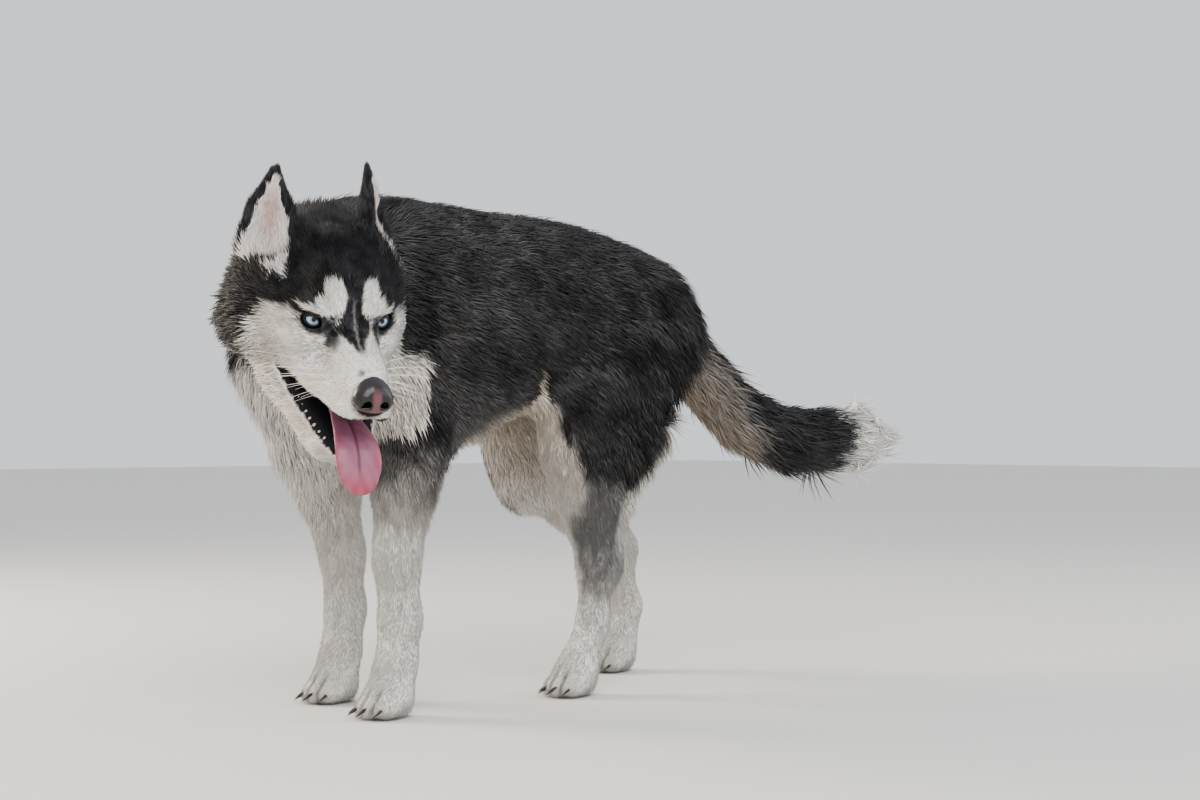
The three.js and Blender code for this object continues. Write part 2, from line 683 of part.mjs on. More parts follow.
const FRONT = {
  left: { side: LEFT, x: -46, y: LEFT * FOOT_SPREAD, elbow: [-6, LEFT * 78, 312] },
  right: { side: RIGHT, x: -18, y: RIGHT * (FOOT_SPREAD - 4), elbow: [-2, RIGHT * 76, 312] },
};
const HIND = {
  left: { side: LEFT, foot: 222, knee: [196, 292], hock: [272, 152], hip: [338, 440] },
  right: { side: RIGHT, foot: 424, knee: [248, 284], hock: [436, 160], hip: [350, 440] },
};

function frontLeg({ side, x, y, elbow }) {
  const [ex, ey, ez] = elbow;
  const shoulder = [
    bone(v3(-14, side * 52, 520), v3(-92, side * 72, 400), 46, 54, { wide: 0.8, blend: 34 }),
    bone(v3(-92, side * 72, 400), v3(ex, ey, ez + 20), 52, 44, { wide: 0.84, blend: 34 }),
  ];
  const lower = limb(
    [
      [ex - 10, ey, ez, 45],
      [ex - 24, ey, ez - 58, 38],
      [x + 8, y, 176, 27],
      [x + 13, y, 108, 24],
      [x + 8, y, 60, 23],
      [x - 2, y, 26, 24],
    ],
    { wide: 0.94, blend: 16 },
  );
  return { upper: shoulder, lower: [...lower, ...pawForms(x - 8, y, 30)] };
}

function hindLeg({ side, foot, knee, hock, hip }) {
  const y = side * FOOT_SPREAD;
  const upper = [
    bone(v3(hip[0], side * 58, hip[1]), v3(knee[0] + 30, side * 84, knee[1] + 18), 78, 50, { wide: 0.62, blend: 36 }),
    bone(v3(hip[0] + 22, side * 58, hip[1] - 30), v3(knee[0] + 96, side * 78, knee[1] + 6), 60, 46, { wide: 0.7, blend: 34 }),
    bone(v3(knee[0] + 6, side * 82, knee[1] + 26), v3(knee[0] + 20, side * 82, knee[1] - 30), 42, 38, { wide: 0.9, blend: 30 }),
  ];
  const lower = limb(
    [
      [knee[0] + 22, side * 82, knee[1] - 10, 42],
      [(knee[0] + hock[0]) / 2 + 6, side * 79, (knee[1] + hock[1]) / 2 + 2, 34],
      [hock[0] - 14, y, hock[1] + 2, 25],
      [foot + 20 + (hock[0] - foot) * 0.2, y, 84, 20],
      [foot + 10, y, 44, 21],
      [foot, y, 26, 23],
    ],
    { wide: 0.9, blend: 16 },
  );
  const heel = bone(
    v3(hock[0] + 8, y, hock[1] + 6), v3((knee[0] + hock[0]) / 2 + 52, side * 80, hock[1] + 74), 15, 24, { wide: 0.6, blend: 18 },
  );
  const point = egg(v3(hock[0] + 2, y, hock[1]), [21, 17, 20], { blend: 14 });
  return { upper, lower: [...lower, heel, point, ...pawForms(foot - 6, y, 28)] };
}

// Tail: hangs from the rump, then sweeps back
const tailLine = new THREE.CatmullRomCurve3([
  v3(398, 0, 486), v3(444, -2, 450), v3(492, -6, 396), v3(556, -12, 340), v3(640, -18, 308), v3(760, -22, 305), v3(858, -24, 307),
]);
const TAIL_RADII = [40, 43, 46, 50, 53, 50, 20];
const tail = TAIL_RADII.slice(1).map((r, i) =>
  bone(tailLine.getPoint(i / 6), tailLine.getPoint((i + 1) / 6), TAIL_RADII[i], r, { wide: 0.86, blend: 22 }),
);

const legs = {
  frontLeft: frontLeg(FRONT.left),
  frontRight: frontLeg(FRONT.right),
  hindLeft: hindLeg(HIND.left),
  hindRight: hindLeg(HIND.right),
};
const flesh = [
  ...body,
  ...neck,
  ...Object.values(legs).flatMap((leg) => leg.upper),
  ...Object.values(legs).flatMap((leg) => leg.lower),
];
const headFlesh = [...skull, ...muzzle, ...jaw, ...noseForms.slice(0, 3)];
const ears = { [LEFT]: earForms(LEFT), [RIGHT]: earForms(RIGHT) };

// Where one piece ends and the next begins: each is a list of planes, as a point and the way in
const neckCut = [inHead(0, -116, 0), headWay(0, 1, 0.1)];
const chestCut = [v3(-64, 0, 440), v3(-1, -0.12, 0.12)];
const tailCut = [tailLine.getPoint(0.17), tailLine.getTangent(0.17)];
const brushCut = [tailLine.getPoint(0.62), tailLine.getTangent(0.62)];
const noseCut = [[inHead(0, MUZZLE - 9.5, -30), headWay(0, 1, 0.3)], [inHead(0, MUZZLE, -49), headWay(0, 0.35, 1)]];
const jawCut = [
  [inHead(0, MOUTH_CORNER[0], MOUTH_CORNER[1]), headWay(0, Math.sin(degrees(-JAW_OPEN / 2)), -Math.cos(degrees(-JAW_OPEN / 2)))],
  [inHead(0, -60, -60), headWay(0, 1, -0.1)],
];
const earCut = (side) => {
  return [
    [inHead(side * 50, -98, 58), headWay(side * 0.6, -0.1, 1)],
    [inHead(side * 24, -98, 58), headWay(side, 0, 0.3)],
    [inHead(0, -140, 0), headWay(0, 1, 0)],
  ];
};
const legCut = ({ side }, x0, x1, top) => [
  [v3(0, side * 30, 0), v3(0, side, 0)],
  [v3(x0, 0, 0), v3(1, 0, 0)],
  [v3(x1, 0, 0), v3(-1, 0, 0)],
  [v3(0, 0, top), v3(0, 0, -1)],
];

const boxAround = (points, margin) => {
  const box = new THREE.Box3().setFromPoints(points).expandByScalar(margin);
  return [box.min.toArray(), box.max.toArray()];
};
const floor = [v3(0, 0, 0), v3(0, 0, 1)];

// Group

const root = new THREE.Group();
const model = new THREE.Group();
root.add(model);
function node(name, solid, colour, roughness = 0.9) {
  const material = new THREE.MeshStandardMaterial({ color: COLOURS[colour], roughness, metalness: 0 });
  const mesh = new THREE.Mesh(geometryOf(largest(solid)), material);
  mesh.name = name;
  model.add(mesh);
}

// Tongue: lies along the jaw, over the lower front teeth, and hangs
const tongueLine = new THREE.CatmullRomCurve3([
  onJaw(0, 18, -50), onJaw(0, 60, -49), nearHead(0, 18, -114), nearHead(-1, 34, -134), nearHead(-1, 42, -180),
]);
const TONGUE_HALF = [14, 16, 18, 20.5, 24, 26, 24]; // from its root to near its tip
const TONGUE_THICK = 8;
const TONGUE_GROOVE = 2.4;

// A flat strip with blunt rounded ends along the tongue's line, its groove on the upper side
function strip(grow = 0) {
  const shape = new THREE.SphereGeometry(1, 16, 18);
  const p = shape.attributes.position;
  for (let i = 0; i < p.count; i++) {
    const [x, y, z] = [p.getX(i), p.getY(i), p.getZ(i)];
    const t = (y + 1) / 2;
    const rim = Math.sqrt(Math.max(1 - y * y, 1e-9));
    const blunt = Math.sqrt(Math.max(0, 1 - Math.abs(y) ** 7)) / rim;
    const step = Math.min(t * (TONGUE_HALF.length - 1), TONGUE_HALF.length - 1.001);
    const low = Math.floor(step);
    const half = TONGUE_HALF[low] + (TONGUE_HALF[low + 1] - TONGUE_HALF[low]) * (step - low) + grow;
    const way = tongueLine.getTangent(t);
    const up = way.clone().cross(headU).negate().normalize();
    const groove = z > 0 ? TONGUE_GROOVE * Math.exp(-((x * 7) ** 2)) * Math.min(1, 4 * (1 - t)) : 0;
    const spot = tongueLine.getPoint(t)
      .addScaledVector(headU, x * blunt * half)
      .addScaledVector(up, z * blunt * (TONGUE_THICK / 2 + grow) - groove)
      .addScaledVector(way, grow * y);
    p.setXYZ(i, spot.x, spot.y, spot.z);
  }
  const solid = solidOf(shape);
  return solid.volume() > 0 ? solid : solidOf(turnedOver(shape));
}
const tongueRoom = strip(1);
const tongue = strip();
node("tongue", tongue, "tongue", 0.4);

// Head and what sits in it
const headBox = boxAround(
  [inHead(-90, -136, -90), inHead(105, -136, 90), inHead(0, MUZZLE + 12, -20), inHead(0, 60, -140), inHead(-90, 0, 90), inHead(90, -60, -100)],
  12,
);
const headForms = [...neck.slice(2, 4), ...headFlesh, ...lids, ...mouth];
let headSolid = fleshOf([...headForms, ...ears[LEFT], ...ears[RIGHT]], headBox, 3.2, 4100)
  .intersect(space([neckCut], -GAP / 2))
  .subtract(space([chestCut.map((p, i) => (i ? p.clone().negate() : p))], GAP / 2));
for (const side of sides) {
  headSolid = headSolid.subtract(space(earCut(side), GAP / 2));
  const box = boxAround([inHead(side * 50, -74, 60), inHead(side * 50, -84, 150)], 46);
  const ear = fleshOf([...skull, ...ears[side]], box, 2.6, 620);
  node(side === LEFT ? "ear_left" : "ear_right", ear.intersect(space(earCut(side), -GAP / 2)), "black");
}
const lowerJaw = headSolid.intersect(space(jawCut, -GAP / 2)).subtract(tongueRoom);
headSolid = headSolid.subtract(space(jawCut, GAP / 2)).subtract(tongueRoom);

const noseBox = boxAround([inHead(0, MUZZLE - 2, -36)], 32);
const noseSolid = fleshOf([...muzzle, ...noseForms], noseBox, 1.6, 600).intersect(space(noseCut, -GAP / 2));
headSolid = headSolid.subtract(space(noseCut, GAP / 2));
node("nose", noseSolid, "nose", 0.45);

for (const side of sides) {
  const place = new THREE.Matrix4().copyPosition(new THREE.Matrix4().setPosition(eyeAt(side)));
  const ball = new THREE.SphereGeometry(EYE_RADIUS, 16, 11);
  const socket = new THREE.SphereGeometry(EYE_RADIUS + GAP, 16, 11);
  headSolid = headSolid.subtract(solidOf(socket, place));
  node(side === LEFT ? "eye_left" : "eye_right", solidOf(ball, place), "eye", 0.1);
}
node("head", headSolid, "white");
node("jaw", lowerJaw, "white");

// Neck, trunk, tail and legs. The neck and shoulder give way all round to the head and ears.
const solidEars = [...ears[LEFT], ...ears[RIGHT]].filter((form) => !form.cut);
const headRoom = fleshOf([...neck.slice(2, 4), ...headFlesh, ...solidEars], headBox, 5, 2600, 2);
const legSpaces = {
  frontLeft: legCut(FRONT.left, -112, 60, 300),
  frontRight: legCut(FRONT.right, -112, 60, 300),
  hindLeft: legCut(HIND.left, 120, 400, 330),
  hindRight: legCut(HIND.right, 150, 520, 330),
};
const neckBox = boxAround([v3(-190, 100, 210), v3(30, -130, 600)], 10);
const trunkForms = [...flesh, ...skull, ...tail.slice(0, 2)];
// The ruff: rows of locks round the neck that lie back and down over the shoulders and breast
const neckField = fieldOf([...flesh, ...skull]);
const RUFF_ROWS = [0.86, 0.66, 0.46];
const RUFF_AROUND = 9;
function ruff() {
  const locks = [];
  RUFF_ROWS.forEach((t, row) => {
    const from = neckLine.getPoint(t);
    const back = neckLine.getTangent(t).negate();
    for (let i = 0; i < RUFF_AROUND; i++) {
      const angle = ((i + (row % 2) / 2) / RUFF_AROUND) * Math.PI * 2;
      const across = back.clone().cross(v3(0, 0, 1)).normalize();
      const out = across.multiplyScalar(Math.cos(angle)).add(v3(0, 0, Math.sin(angle))).normalize();
      const spot = surfaceFrom(neckField, from, out);
      const way = back.clone().add(v3(0, 0, -0.7 * (1 - out.z)));
      locks.push(lock(spot, way, out, { length: 62 + 8 * ((i * 5 + row) % 3), width: 34, thick: 9, lift: 0.14 }));
    }
  });
  return locks;
}

let neckSolid = ruff()
  .reduce((whole, piece) => whole.add(piece), fleshOf([...flesh, ...skull], neckBox, 8, 900))
  .subtract(headRoom.intersect(space([neckCut], GAP / 2)))
  .intersect(space([chestCut], -GAP / 2));
for (const planes of [legSpaces.frontLeft, legSpaces.frontRight]) {
  neckSolid = neckSolid.subtract(space(planes, GAP / 2));
}
node("neck", neckSolid, "grey");

let trunkSolid = fleshOf(trunkForms, [[-190, -160, 240], [500, 160, 610]], 9, 2500)
  .subtract(space([chestCut], GAP / 2));
// The breeches: locks down the back of each thigh
const breechField = fieldOf(trunkForms);
const breeches = (side, heights) =>
  heights.flatMap(([height, x], row) =>
    [40, 62, 84].map((y, i) => {
      const out = v3(0.9, side * (i - 1) * 0.5, -0.15).normalize();
      const spot = surfaceFrom(breechField, v3(x, side * (y + (row % 2) * 6), height), out);
      return lock(spot, v3(0.12, 0, -1), out, { length: 50, width: 24, thick: 8, lift: 0.12 });
    }),
  );
const HIGH_BREECHES = [[452, 350], [412, 340]];
for (const side of sides) {
  trunkSolid = breeches(side, HIGH_BREECHES).reduce((whole, piece) => whole.add(piece), trunkSolid);
}
for (const planes of [[tailCut], ...Object.values(legSpaces)]) {
  trunkSolid = trunkSolid.subtract(space(planes, GAP / 2));
}
node("torso", trunkSolid, "black");

const PAW_TOP = 62;
const legNames = { frontLeft: "front_left", frontRight: "front_right", hindLeft: "hind_left", hindRight: "hind_right" };
for (const [name, planes] of Object.entries(legSpaces)) {
  const front = name.startsWith("front");
  const spec = { frontLeft: FRONT.left, frontRight: FRONT.right, hindLeft: HIND.left, hindRight: HIND.right }[name];
  const x = front ? spec.x - 8 : spec.foot - 6;
  const y = front ? spec.y : spec.side * FOOT_SPREAD;
  const ankle = [v3(0, 0, PAW_TOP), v3(0, 0, 1)];
  const foot = [v3(0, 0, PAW_TOP), v3(0, 0, -1)];
  const legBox = [[planes[1][0].x - 10, Math.min(y * 0.2, y * 2), 40], [planes[2][0].x + 10, Math.max(y * 0.2, y * 2), planes[3][0].z + 12]];
  let whole = fleshOf(flesh, legBox, 5, 560);
  if (!front) {
    const low = [[322, spec.knee[0] + 40], [284, spec.knee[0] + 30]];
    whole = breeches(spec.side, low).reduce((all, piece) => all.add(piece), whole);
  }
  node(`leg_${legNames[name]}`, whole.intersect(space([...planes, ankle], -GAP / 2)), front ? "white" : "grey");
  const pawBox = [[x - 62, y - 46, -12], [x + 60, y + 46, 76]];
  let paw = fleshOf(legs[name].lower, pawBox, 3, 380);
  for (const claw of clawsOf(x, y, front ? 30 : 28)) paw = paw.add(claw);
  node(`paw_${legNames[name]}`, paw.intersect(space([foot, floor], -GAP / 2)), "white");
}

const tailForms = [...body, ...tail];
const tailBox = boxAround([v3(400, 50, 510), v3(880, -70, 235)], 16);
const tailField = fieldOf(tailForms);
const BRUSH = [0.26, 0.35, 0.44, 0.53, 0.62, 0.71, 0.8, 0.88, 0.94];
function brush() {
  const locks = [];
  BRUSH.forEach((t, row) => {
    const from = tailLine.getPoint(t);
    const back = tailLine.getTangent(t);
    const around = t > 0.9 ? 4 : 5;
    for (let i = 0; i < around; i++) {
      const angle = ((i + (row % 2) / 2) / around) * Math.PI * 2;
      const across = back.clone().cross(v3(0, 0, 1)).normalize();
      const up = across.clone().cross(back).normalize();
      const out = across.multiplyScalar(Math.cos(angle)).addScaledVector(up, Math.sin(angle));
      const spot = surfaceFrom(tailField, from, out);
      const length = (t > 0.85 ? 40 : 64) + 7 * ((i * 5 + row) % 3);
      locks.push(lock(spot, back, out, { length, width: 26, thick: 8, lift: 0.15 }));
    }
  });
  return locks;
}
const tailSolid = brush().reduce((whole, piece) => whole.add(piece), fleshOf(tailForms, tailBox, 7, 620));
node("tail_root", tailSolid.intersect(space([tailCut], -GAP / 2)).subtract(space([brushCut], GAP / 2)), "black");
node("tail_brush", tailSolid.intersect(space([brushCut], -GAP / 2)), "white");

// Stand the origin on the floor under the middle of the box
const box = new THREE.Box3().setFromObject(model);
const middle = box.getCenter(v3());
model.position.set(-middle.x, -middle.y, -box.min.z);

export default root;
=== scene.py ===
"""A husky that stands looking back over its left shoulder, in its full coat. Metres, +Z up, the dog faces -X.

Places on the dog are given in millimetres from the floor under the withers. Places on the head are given from
the point between the eyes: u to the dog's right, v to the nose, w up.
"""

import math

import bmesh
import bpy
import numpy as np
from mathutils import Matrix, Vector


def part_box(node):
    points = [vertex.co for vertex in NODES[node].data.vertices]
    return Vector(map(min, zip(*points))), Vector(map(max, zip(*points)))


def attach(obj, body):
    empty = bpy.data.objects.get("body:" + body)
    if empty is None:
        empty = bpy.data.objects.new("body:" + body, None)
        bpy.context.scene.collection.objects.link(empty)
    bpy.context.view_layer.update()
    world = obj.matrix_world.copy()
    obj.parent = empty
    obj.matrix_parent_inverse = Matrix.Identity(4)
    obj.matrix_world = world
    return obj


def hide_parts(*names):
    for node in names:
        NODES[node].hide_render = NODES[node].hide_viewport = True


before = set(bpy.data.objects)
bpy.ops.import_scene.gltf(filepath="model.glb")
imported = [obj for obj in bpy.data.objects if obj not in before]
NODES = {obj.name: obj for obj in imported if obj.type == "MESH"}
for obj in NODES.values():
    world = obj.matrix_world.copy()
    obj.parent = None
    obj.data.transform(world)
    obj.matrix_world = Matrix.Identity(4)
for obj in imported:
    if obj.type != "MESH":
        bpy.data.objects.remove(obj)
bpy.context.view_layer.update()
SCENE = bpy.context.scene
rng = np.random.default_rng(11)

# The head, ears, paws and tail, placed as the solids have them
HEAD_AT = np.array([-172.0, -170.0, 428.0])
TURN, PITCH = math.radians(74.5), math.radians(26)
AHEAD = np.array([-math.cos(TURN), -math.sin(TURN), 0.0])
U = np.array([-math.sin(TURN), math.cos(TURN), 0.0])
V = AHEAD * math.cos(PITCH) - np.array([0, 0, math.sin(PITCH)])
W = np.cross(U, V)
EYE_APART, EYE_BACK, EYE_RADIUS = 34.0, 4.0, 12.0
MUZZLE = 112.0  # v at the end of the muzzle
JAW_OPEN = math.radians(24)
JAW_JOINT = np.array([-46.0, -34.0])  # v and w
EARS = {  # side: foot, tip, the way the cup faces, all in the head's axes
    1: ((64, -94, 38), (64, -100, 126), (0.35, 1, 0.1)),
    -1: ((-60, -98, 38), (-34, -100, 131), (-0.92, 0.5, 0.05)),
}
PAWS = [(-54, -75, 30), (-26, 71, 30), (216, -75, 28), (418, 75, 28)]  # x, y, width
TAIL = [  # the middle line, from the root to the tip
    (398, 0, 486), (444, -2, 450), (492, -6, 396), (556, -12, 340),
    (640, -18, 308), (760, -22, 305), (858, -24, 307),
]


def on_head(u, v, w):
    return HEAD_AT + U * u + V * v + W * w


def swung(v, w, angle):
    """A place on the head's middle plane, turned about the jaw's joint."""
    dv, dw = v - JAW_JOINT[0], w - JAW_JOINT[1]
    c, s = math.cos(angle), math.sin(angle)
    return JAW_JOINT[0] + dv * c - dw * s, JAW_JOINT[1] + dv * s + dw * c


def on_jaw(u, v, w):
    """A point laid out on the closed lower jaw, swung open with it."""
    return on_head(u, *swung(v, w, -JAW_OPEN))


def eye_at(side):
    return on_head(side * EYE_APART, -EYE_BACK, 0)


# The frame's origin lies elsewhere than the dog's own, and the left eye shows by how much
eye_low, eye_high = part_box("eye_left")
SHIFT = np.array((eye_low + eye_high) / 2) * 1000 - eye_at(-1)


def to_frame(place):
    """From the dog's millimetres to the frame's metres."""
    return (np.asarray(place, float) + SHIFT) / 1000


def from_frame(place):
    """From the frame's metres to the dog's millimetres."""
    return np.asarray(place, float) * 1000 - SHIFT


def unit(way):
    way = np.asarray(way, float)
    return way / np.maximum(np.linalg.norm(way, axis=-1, keepdims=True), 1e-9)


def follow(places, line):
    """Reads a line of (place, value) pairs off at each place."""
    return np.interp(places, *np.transpose(line))


# Noise and mixing, for markings and for the lie of the hair

WAVES = rng.normal(size=(14, 3))
PHASES = rng.uniform(0, 2 * math.pi, 14)


def noise(points, size, seed=0):
    """Smooth noise of about -1 to 1 that changes over `size` millimetres."""
    total = np.zeros(len(points))
    for i, (wave, phase) in enumerate(zip(WAVES, PHASES)):
        pitch = 1.6 * (0.6 + 0.12 * i) / size * 2
        total += np.sin(points @ np.roll(wave, seed) * pitch + phase * (seed + 1))
    return total / 3.4


def soft(x, width):
    """0 to 1 as x passes from below 0 to above it."""
    return np.clip(0.5 + x / (2 * width), 0, 1)


def mix(a, b, share):
    """From a at a share of 0 to b at a share of 1."""
    share = np.asarray(share)[..., None] if np.ndim(share) else share
    return a * (1 - share) + b * share


def oval(x, y, middle_x, middle_y, half_x, half_y):
    """1 in the middle of an oval, 0 on its edge and less outside it."""
    return 1 - ((x - middle_x) / half_x) ** 2 - ((y - middle_y) / half_y) ** 2


# The coat's colours, as linear red, green and blue

BLACK = np.array((0.012, 0.012, 0.014))
CHARCOAL = np.array((0.050, 0.050, 0.055))
GREY = np.array((0.155, 0.148, 0.145))
SLATE = GREY * np.array((0.95, 1, 1.06)) * 1.1
SMOKE = np.array((0.29, 0.28, 0.275))
UNDERCOAT = np.array((0.13, 0.125, 0.12))
TAN = np.array((0.40, 0.31, 0.23))
CREAM = np.array((0.66, 0.58, 0.48))
WHITE = np.array((0.80, 0.78, 0.75))
PINK = np.array((0.55, 0.33, 0.30))


# Where the head, the mouth and the ears are

LIP_RIM = [(-19, -53), (8, -62.5), (30, -64)]  # v and w on the closed jaw
HEAD_REACH = 172  # millimetres from a point behind the eyes
EAR_FOOT, EAR_HALF_WIDE = 0.12, 45  # share along an ear, and millimetres


def head_axes(points):
    away = points - HEAD_AT
    return away @ U, away @ V, away @ W


def in_mouth(points):
    """True on the lining between the lips, down to the rim of the open jaw."""
    u, v, w = head_axes(points)
    jaw_v, jaw_w = swung(v, w, JAW_OPEN)
    below_lip = w < -60.5 - 3 * np.clip((v - 50) / 30, 0, 1)
    above_rim = jaw_w > follow(jaw_v, LIP_RIM)
    return below_lip & above_rim & (v > -27) & (v < 124) & (np.abs(u) < 68) & (jaw_v < 104)


def near_head(points):
    u, v, w = head_axes(points)
    away = np.linalg.norm(points - on_head(0, -20, -10), axis=1)
    return (v > -108) & (np.abs(u) < 125) & (w < 160) & (w > -150) & (away < HEAD_REACH)


def ear_share(points, side):
    """How far along an ear a point lies, how far from its middle line, and how far to its open side."""
    foot, tip, faces = (np.array(a, float) for a in EARS[side])
    away = np.stack(head_axes(points), 1) - foot
    axis = tip - foot
    long = np.linalg.norm(axis)
    axis = axis / long
    share = away @ axis / long
    rest = away - np.outer(share * long, axis)
    out = unit(faces - axis * (faces @ axis))
    return share, np.linalg.norm(rest - np.outer(rest @ out, out), axis=1), rest @ out


def inner_ear(points, normals):
    """0 to 1 where the skin is the inside of an ear's cup."""
    inside = np.zeros(len(points))
    for side in (-1, 1):
        faces = EARS[side][2]
        out = unit(U * faces[0] + V * faces[1] + W * faces[2])
        along, across, depth = ear_share(points, side)
        rim = 27 * (1 - np.clip(along / 0.9, 0, 1) ** 1.4) - 1.5 + noise(points, 7)
        here = (along > -0.14) & (along < 0.88) & (across < rim) & (depth > -16)
        inside = np.maximum(inside, here * soft(normals @ out - 0.25, 0.15))
    return inside


def is_ear(points):
    on_ear = np.zeros(len(points), bool)
    for side in (-1, 1):
        along, across, _ = ear_share(points, side)
        on_ear |= (along > EAR_FOOT) & (across < EAR_HALF_WIDE)
    return on_ear


# The head's markings

BROW_SPOTS = [  # beside and above the middle of the eyes, with half widths
    (18.5, 30, 10.5, 13.5),
    (26, 20, 11, 6.5),
    (14, 19, 6, 8),
    (31, 13, 19, 3.4),
]
EYE_RIM = (EYE_APART + 1, 0, 17.5, 9.2)  # beside and above the middle, half widths
BRIDGE = [(18, 5), (30, 19), (44, 13), (52, 9), (60, 6), (74, 2.5)]  # v, half width
FLECK = (9.5, 92.5, 3.2)  # u, v and radius of the dark fleck on the muzzle
NOSE_EDGE = 20  # millimetres round the nose leather's middle that are dark and bare


def head_marks(points):
    """0 to 1 where the head is dark, and how far each point lies from the middle of the bridge."""
    u, v, w = head_axes(points)
    beside = np.abs(u)
    ragged = noise(points, 9) * 1.8
    off_bridge = np.abs(u - 4 * np.clip(v / 60, 0, 1))
    # The cap over the brow and down the cheeks, with a pale spot over each eye
    cap = soft(w - 3.8 - 0.1 * np.maximum(50 - beside, 0) + ragged, 2.2)
    cheek = soft(-v - 34 + 0.4 * np.minimum(w, 0) + ragged * 1.6, 3.5) * soft(w + 66, 6)
    brow = np.max([oval(beside, w, *spot) for spot in BROW_SPOTS], axis=0)
    dark = np.maximum(cap, cheek) * (1 - soft(brow + ragged * 0.05, 0.14) * (v > -60))
    # The dark bridge between the eyes, down to the muzzle, and the parting above it
    level = soft(14 - w + np.maximum(12 - off_bridge, 0) * 2, 3) * (w > -22)
    bridge = soft(follow(v, BRIDGE) - off_bridge + ragged * 0.6, 1.6) * level * (v > 8) * soft(73 - v, 5)
    parting = soft(4 - off_bridge + ragged * 0.4, 1.2) * (w > 8) * (v > -40)
    # The eye rims and the streak that runs down from each
    rim = soft(oval(beside, w, *EYE_RIM) + ragged * 0.05, 0.25) * (v > -30)
    down = np.clip((2 - w) / 19, 0, 1)
    streak = soft(5.4 - 3 * down - np.abs(beside - (20.5 + 7 * down)) + ragged * 0.5, 1.5)
    streak = streak * (w > -17) * (w < 4) * (v > 10) * 0.9
    fleck = soft(FLECK[2] - np.hypot(u - FLECK[0], v - FLECK[1]), 1.2) * (w > -30) * 0.85
    specks = soft(noise(points, 2.6, 3) - 1.15, 0.2) * soft(v - 55, 10) * 0.35 * (w > -60)
    return np.max([dark, bridge, parting, rim, streak, fleck, specks], axis=0), off_bridge


def ear_blush(points):
    """0 to 1 where the inside of an ear is pink."""
    blush = np.zeros(len(points))
    for side in (-1, 1):
        along, across, _ = ear_share(points, side)
        middle = soft(7 - across, 5) * soft(along - 0.1, 0.12) * soft(0.62 - along, 0.15)
        blush = np.maximum(blush, middle)
    return blush


def head_colour(points, normals):
    _, v, w = head_axes(points)
    marks, off_bridge = head_marks(points)
    light = mix(WHITE, CREAM, soft(noise(points, 26, 2) - 0.25, 0.6) * 0.45 + soft(-w - 62, 16) * 0.25)
    dark = mix(BLACK, CHARCOAL, soft(noise(points, 12, 1), 0.7))
    dark = dark * (1 - 0.5 * soft(-v - 15, 25))[:, None]
    dark = mix(dark, GREY * 1.6, soft(1.3 - off_bridge, 0.6) * soft(24 - w, 6) * (v > 0) * 0.9)
    colour = mix(light, dark, marks)
    ears = is_ear(points)
    colour[ears] = mix(BLACK, CHARCOAL, soft(noise(points[ears], 8), 0.8))
    cup = mix(WHITE, PINK, 0.1 + 0.6 * ear_blush(points))
    colour = mix(colour, cup, inner_ear(points, normals))
    off_nose = np.linalg.norm(points - on_head(0, MUZZLE - 3, -40), axis=1)
    colour = mix(colour, BLACK, soft(NOSE_EDGE - off_nose, 2))
    # The open mouth is lined near-black: the black lips and gums, and painted shade inside the mouth
    colour[in_mouth(points)] = BLACK * 1.3
    return colour


# The tail's middle line


def tail_line(steps=40):
    """Even points along the tail's middle line, with its corners rounded."""
    points = np.array(TAIL, float)
    run = np.r_[0, np.cumsum(np.linalg.norm(np.diff(points, axis=0), axis=1))]
    at = np.linspace(0, run[-1], steps)
    line = np.stack([np.interp(at, run, points[:, k]) for k in range(3)], 1)
    for _ in range(6):
        line[1:-1] = (line[:-2] + 2 * line[1:-1] + line[2:]) / 4
    return line


def tail_place(points):
    """How far each point lies from the tail's middle line, and its share along that line."""
    line = tail_line()
    away, nearest = np.full(len(points), 1e9), np.zeros(len(points), int)
    for i, spot in enumerate(line):
        off = np.linalg.norm(points - spot, axis=1)
        nearest[off < away] = i
        away = np.minimum(away, off)
    return away, nearest / (len(line) - 1)


# The body's markings, whose lines are pairs of one place and another

MANTLE_EDGE = [  # x, and how low the dark mantle reaches there
    (-160, 405), (-75, 384), (-60, 372), (-36, 330), (4, 280), (55, 284), (117, 304), (151, 336), (172, 366),
    (190, 368), (215, 258),
]
CHEST_EDGE = [  # z, and how far forward the dark shoulder reaches there
    (240, -84), (265, -76), (292, -76), (315, -71), (345, -66), (372, -98), (380, -175), (400, -400),
]
STIFLE_EDGE = [  # z, and where the pale strip down the front of the left thigh ends
    (150, 226), (215, 206), (262, 210), (268, 206), (292, 192), (315, 184),
    (350, 176), (372, 168), (392, 150),
]
HOCK_EDGE = [  # z, and where the pale strip down the back of the hind legs starts
    (150, 270), (210, 276), (253, 288), (272, 310), (318, 346), (360, 370), (400, 388), (440, 420),
]
FORELEG_EDGE = [(185, -60), (240, -84), (300, -64)]  # z, and how far forward the left foreleg's grey reaches
TAIL_TAN = [(440, 24), (520, 10), (560, -24), (640, -70)]  # x, and how high above its middle the tail is tan
TAIL_FROM = 450  # x from where the flesh is the tail's
TAIL_TIP = 716  # x from where the tail is white


class HindLegs:
    """Where the hind legs are, how pale their front and back edges are, and which points face inwards."""

    def __init__(self, points, normals, ragged):
        x, y, z = points.T
        on_left = soft(follow(z, STIFLE_EDGE) - x + ragged * 0.35, 5)
        on_right = soft(-normals[:, 0] - 0.78, 0.14)
        self.here = (x > 150) & (z < 440) & (x < 470) & (np.abs(y) > 28)
        self.front = np.where(y < 0, on_left, on_right) * soft(394 - z, 10)
        self.back = soft(x - follow(z, HOCK_EDGE) + ragged * 0.35, 7) * soft(430 - z, 14) * soft(z - 170, 20)
        self.inner = soft(-normals[:, 1] * np.sign(y) - 0.05, 0.2)


